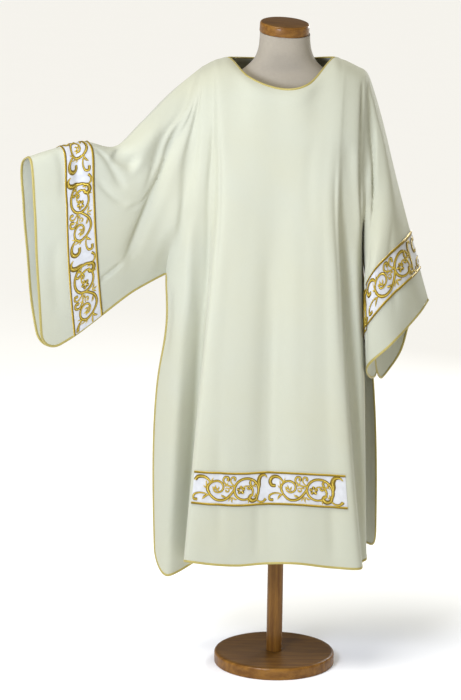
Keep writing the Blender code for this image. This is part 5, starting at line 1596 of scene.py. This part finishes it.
def turned_disc(name, sides, radius, depth, rim, step):
    """A wooden disc with its underside at the origin, round rims and, if wanted, a step on top."""
    disc = cylinder(name, sides, radius, 0.0, depth)
    if step:
        inset_top(disc, radius * step, depth * STEP_DROP)
    reach, slack = radius * RIM_REACH, depth * LEVEL_SLACK
    round_rim(disc, lambda middle: middle.z > depth - slack and middle.xy.length > reach, rim, TOP_SEGMENTS)
    round_rim(disc, lambda middle: middle.z < slack and middle.xy.length > reach,
              rim * UNDER_RIM, UNDER_SEGMENTS)
    return leave_smooth(disc)


def varnish(item, name, settings, grain_scale, node):
    """Give a turned piece its wood, and let it stand for its solid."""
    item.data.materials.append(stained_wood(name, settings, grain_scale))
    dress(item, "honey_wood", node)


class DALMATIC_OT_woodwork(bpy.types.Operator):
    """Turn the neck cap, the pole and the round foot"""

    bl_idname = "dalmatic.woodwork"
    bl_label = "Woodwork"

    def execute(self, context):
        settings = context.scene.dalmatic_form
        self.turn_foot(settings)
        self.turn_cap(settings)
        self.turn_pole(settings)
        return {"FINISHED"}

    def turn_foot(self, settings):
        """The round foot, with a faint step round its top."""
        low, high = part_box("form_base")
        radius, depth = (high.x - low.x) / 2, high.z - low.z
        foot = turned_disc("turned_foot", settings.sides, radius, depth, settings.rim, FOOT_STEP)
        varnish(foot, "varnished_foot", settings, FOOT_GRAIN, "form_base")

    def turn_cap(self, settings):
        """The neck cap, tilted on its seat."""
        cap = turned_disc("turned_neck_cap", settings.sides, CAP_RADIUS, CAP_HEIGHT, CAP_EDGE, 0.0)
        cap.data.transform(Matrix.Translation(CAP_CENTRE) @ Matrix.Rotation(radians(CAP_TILT_SIDE), 4, "Y")
                           @ Matrix.Rotation(radians(CAP_TILT_FRONT), 4, "X"))
        varnish(cap, "varnished_cap", settings, CAP_GRAIN, "form_neck_cap")

    def turn_pole(self, settings):
        """The pole from the foot up into the torso."""
        low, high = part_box("form_pole")
        pole = cylinder("turned_pole", settings.sides // 2, (high.x - low.x) / 2, low.z, high.z)
        round_rim(pole, lambda middle: middle.z > high.z - MILLIMETRE and middle.xy.length > POLE_CORE,
                  POLE_RIM, UNDER_SEGMENTS)
        varnish(leave_smooth(pole), "varnished_pole", settings, POLE_GRAIN, "form_pole")


class DALMATIC_OT_stage(bpy.types.Operator):
    """Set the pale floor, the soft lights and the camera"""

    bl_idname = "dalmatic.stage"
    bl_label = "Floor, lights and camera"

    def execute(self, context):
        settings = context.scene.dalmatic_stage
        self.lay_floor(settings)
        self.set_lights(context, settings)
        self.set_camera(context, settings)
        context.scene.view_settings.view_transform = "Standard"
        return {"FINISHED"}

    def lay_floor(self, settings):
        """The wide round floor."""
        bpy.ops.object.select_all(action="DESELECT")
        bpy.ops.mesh.primitive_circle_add(vertices=FLOOR_SIDES, radius=settings.floor_radius,
                                          fill_type="TRIFAN", location=(0, 0, FLOOR_Z))
        floor = name_and_apply("floor")
        floor.data.materials.append(pale_floor(settings))

    def set_lights(self, context, settings):
        """The even light, the soft light from above and the two soft boxes."""
        world = bpy.data.worlds.new("even_light")
        world.use_nodes = True
        background = world.node_tree.nodes["Background"]
        background.inputs["Color"].default_value = opaque(SKY_TINT)
        background.inputs["Strength"].default_value = settings.sky
        context.scene.world = world

        key = bpy.data.lights.new("key", "SUN")
        key.energy, key.angle, key.color = settings.key, radians(KEY_SPREAD), KEY_TINT
        self.aim(context, key, KEY_PLACE, KEY_TARGET)
        for box in SOFT_BOXES:
            lamp = bpy.data.lights.new(box.name, "AREA")
            lamp.energy, lamp.size, lamp.color = getattr(settings, box.name), box.size, box.tint
            self.aim(context, lamp, box.place, box.target)

    def set_camera(self, context, settings):
        """The camera in front, a little above the neck and looking down."""
        camera = bpy.data.cameras.new("camera")
        camera.lens = settings.lens
        camera.sensor_width = camera.sensor_height = SENSOR
        camera.sensor_fit = "AUTO"
        camera.clip_end = VIEW_END
        eye = bpy.data.objects.new("camera", camera)
        context.scene.collection.objects.link(eye)
        eye.location = CAMERA_PLACE
        eye.rotation_euler = camera_turn()
        context.scene.camera = eye

    def aim(self, context, light, place, target):
        """Add a light at a place, turned towards a target."""
        lamp = bpy.data.objects.new(light.name, light)
        context.scene.collection.objects.link(lamp)
        lamp.location = place
        lamp.rotation_euler = (Vector(target) - Vector(place)).to_track_quat("-Z", "Y").to_euler()


def camera_turn():
    """The camera's rotation from its pitch, yaw and roll."""
    upright = Euler((radians(90.0 - CAMERA_PITCH), 0.0, radians(CAMERA_YAW)), "XYZ").to_matrix()
    return (upright @ Matrix.Rotation(radians(CAMERA_ROLL), 3, "Z")).to_euler()


class DALMATIC_PT_sidebar(bpy.types.Panel):
    """Lists the steps that build the dalmatic and its stage"""

    bl_label = "Dalmatic"
    bl_idname = "DALMATIC_PT_sidebar"
    bl_space_type = "VIEW_3D"
    bl_region_type = "UI"
    bl_category = "Dalmatic"

    def draw(self, context):
        for name, settings in SETTINGS:
            box = self.layout.box()
            box.label(text=settings.__doc__)
            for field in settings.__annotations__:
                box.prop(getattr(context.scene, name), field)
        for operator in OPERATORS:
            self.layout.operator(operator.bl_idname)


SETTINGS = (("dalmatic_cloth", ClothSettings), ("dalmatic_bands", BandSettings),
            ("dalmatic_form", FormSettings), ("dalmatic_stage", StageSettings))
OPERATORS = (DALMATIC_OT_cloth, DALMATIC_OT_bindings, DALMATIC_OT_bands, DALMATIC_OT_embroidery,
             DALMATIC_OT_torso, DALMATIC_OT_woodwork, DALMATIC_OT_stage)


def register():
    """Register the settings, the operators and the panel."""
    for name, settings in SETTINGS:
        bpy.utils.register_class(settings)
        setattr(bpy.types.Scene, name, PointerProperty(type=settings))
    for operator in OPERATORS:
        bpy.utils.register_class(operator)
    bpy.utils.register_class(DALMATIC_PT_sidebar)


def unregister():
    """Take back everything that register added."""
    bpy.utils.unregister_class(DALMATIC_PT_sidebar)
    for operator in reversed(OPERATORS):
        bpy.utils.unregister_class(operator)
    for name, settings in reversed(SETTINGS):
        delattr(bpy.types.Scene, name)
        bpy.utils.unregister_class(settings)


def declare_sheets():
    """List the pieces sewn on the front; nothing reads the list."""
    on_front = ["bias_front_edge_binding", "bias_neck_binding"]
    for layout in (LEFT_BAND, RIGHT_BAND, HEM_BAND):
        on_front += [kind + layout.name for kind in ("satin_", "scrolls_", "cords_")]


def main():
    """Register and build every piece in turn."""
    register()
    bpy.ops.dalmatic.cloth()
    bpy.ops.dalmatic.bindings()
    bpy.ops.dalmatic.bands()
    bpy.ops.dalmatic.embroidery()
    bpy.ops.dalmatic.torso()
    bpy.ops.dalmatic.woodwork()
    bpy.ops.dalmatic.stage()
    declare_sheets()


if __name__ == "__main__":
    main()
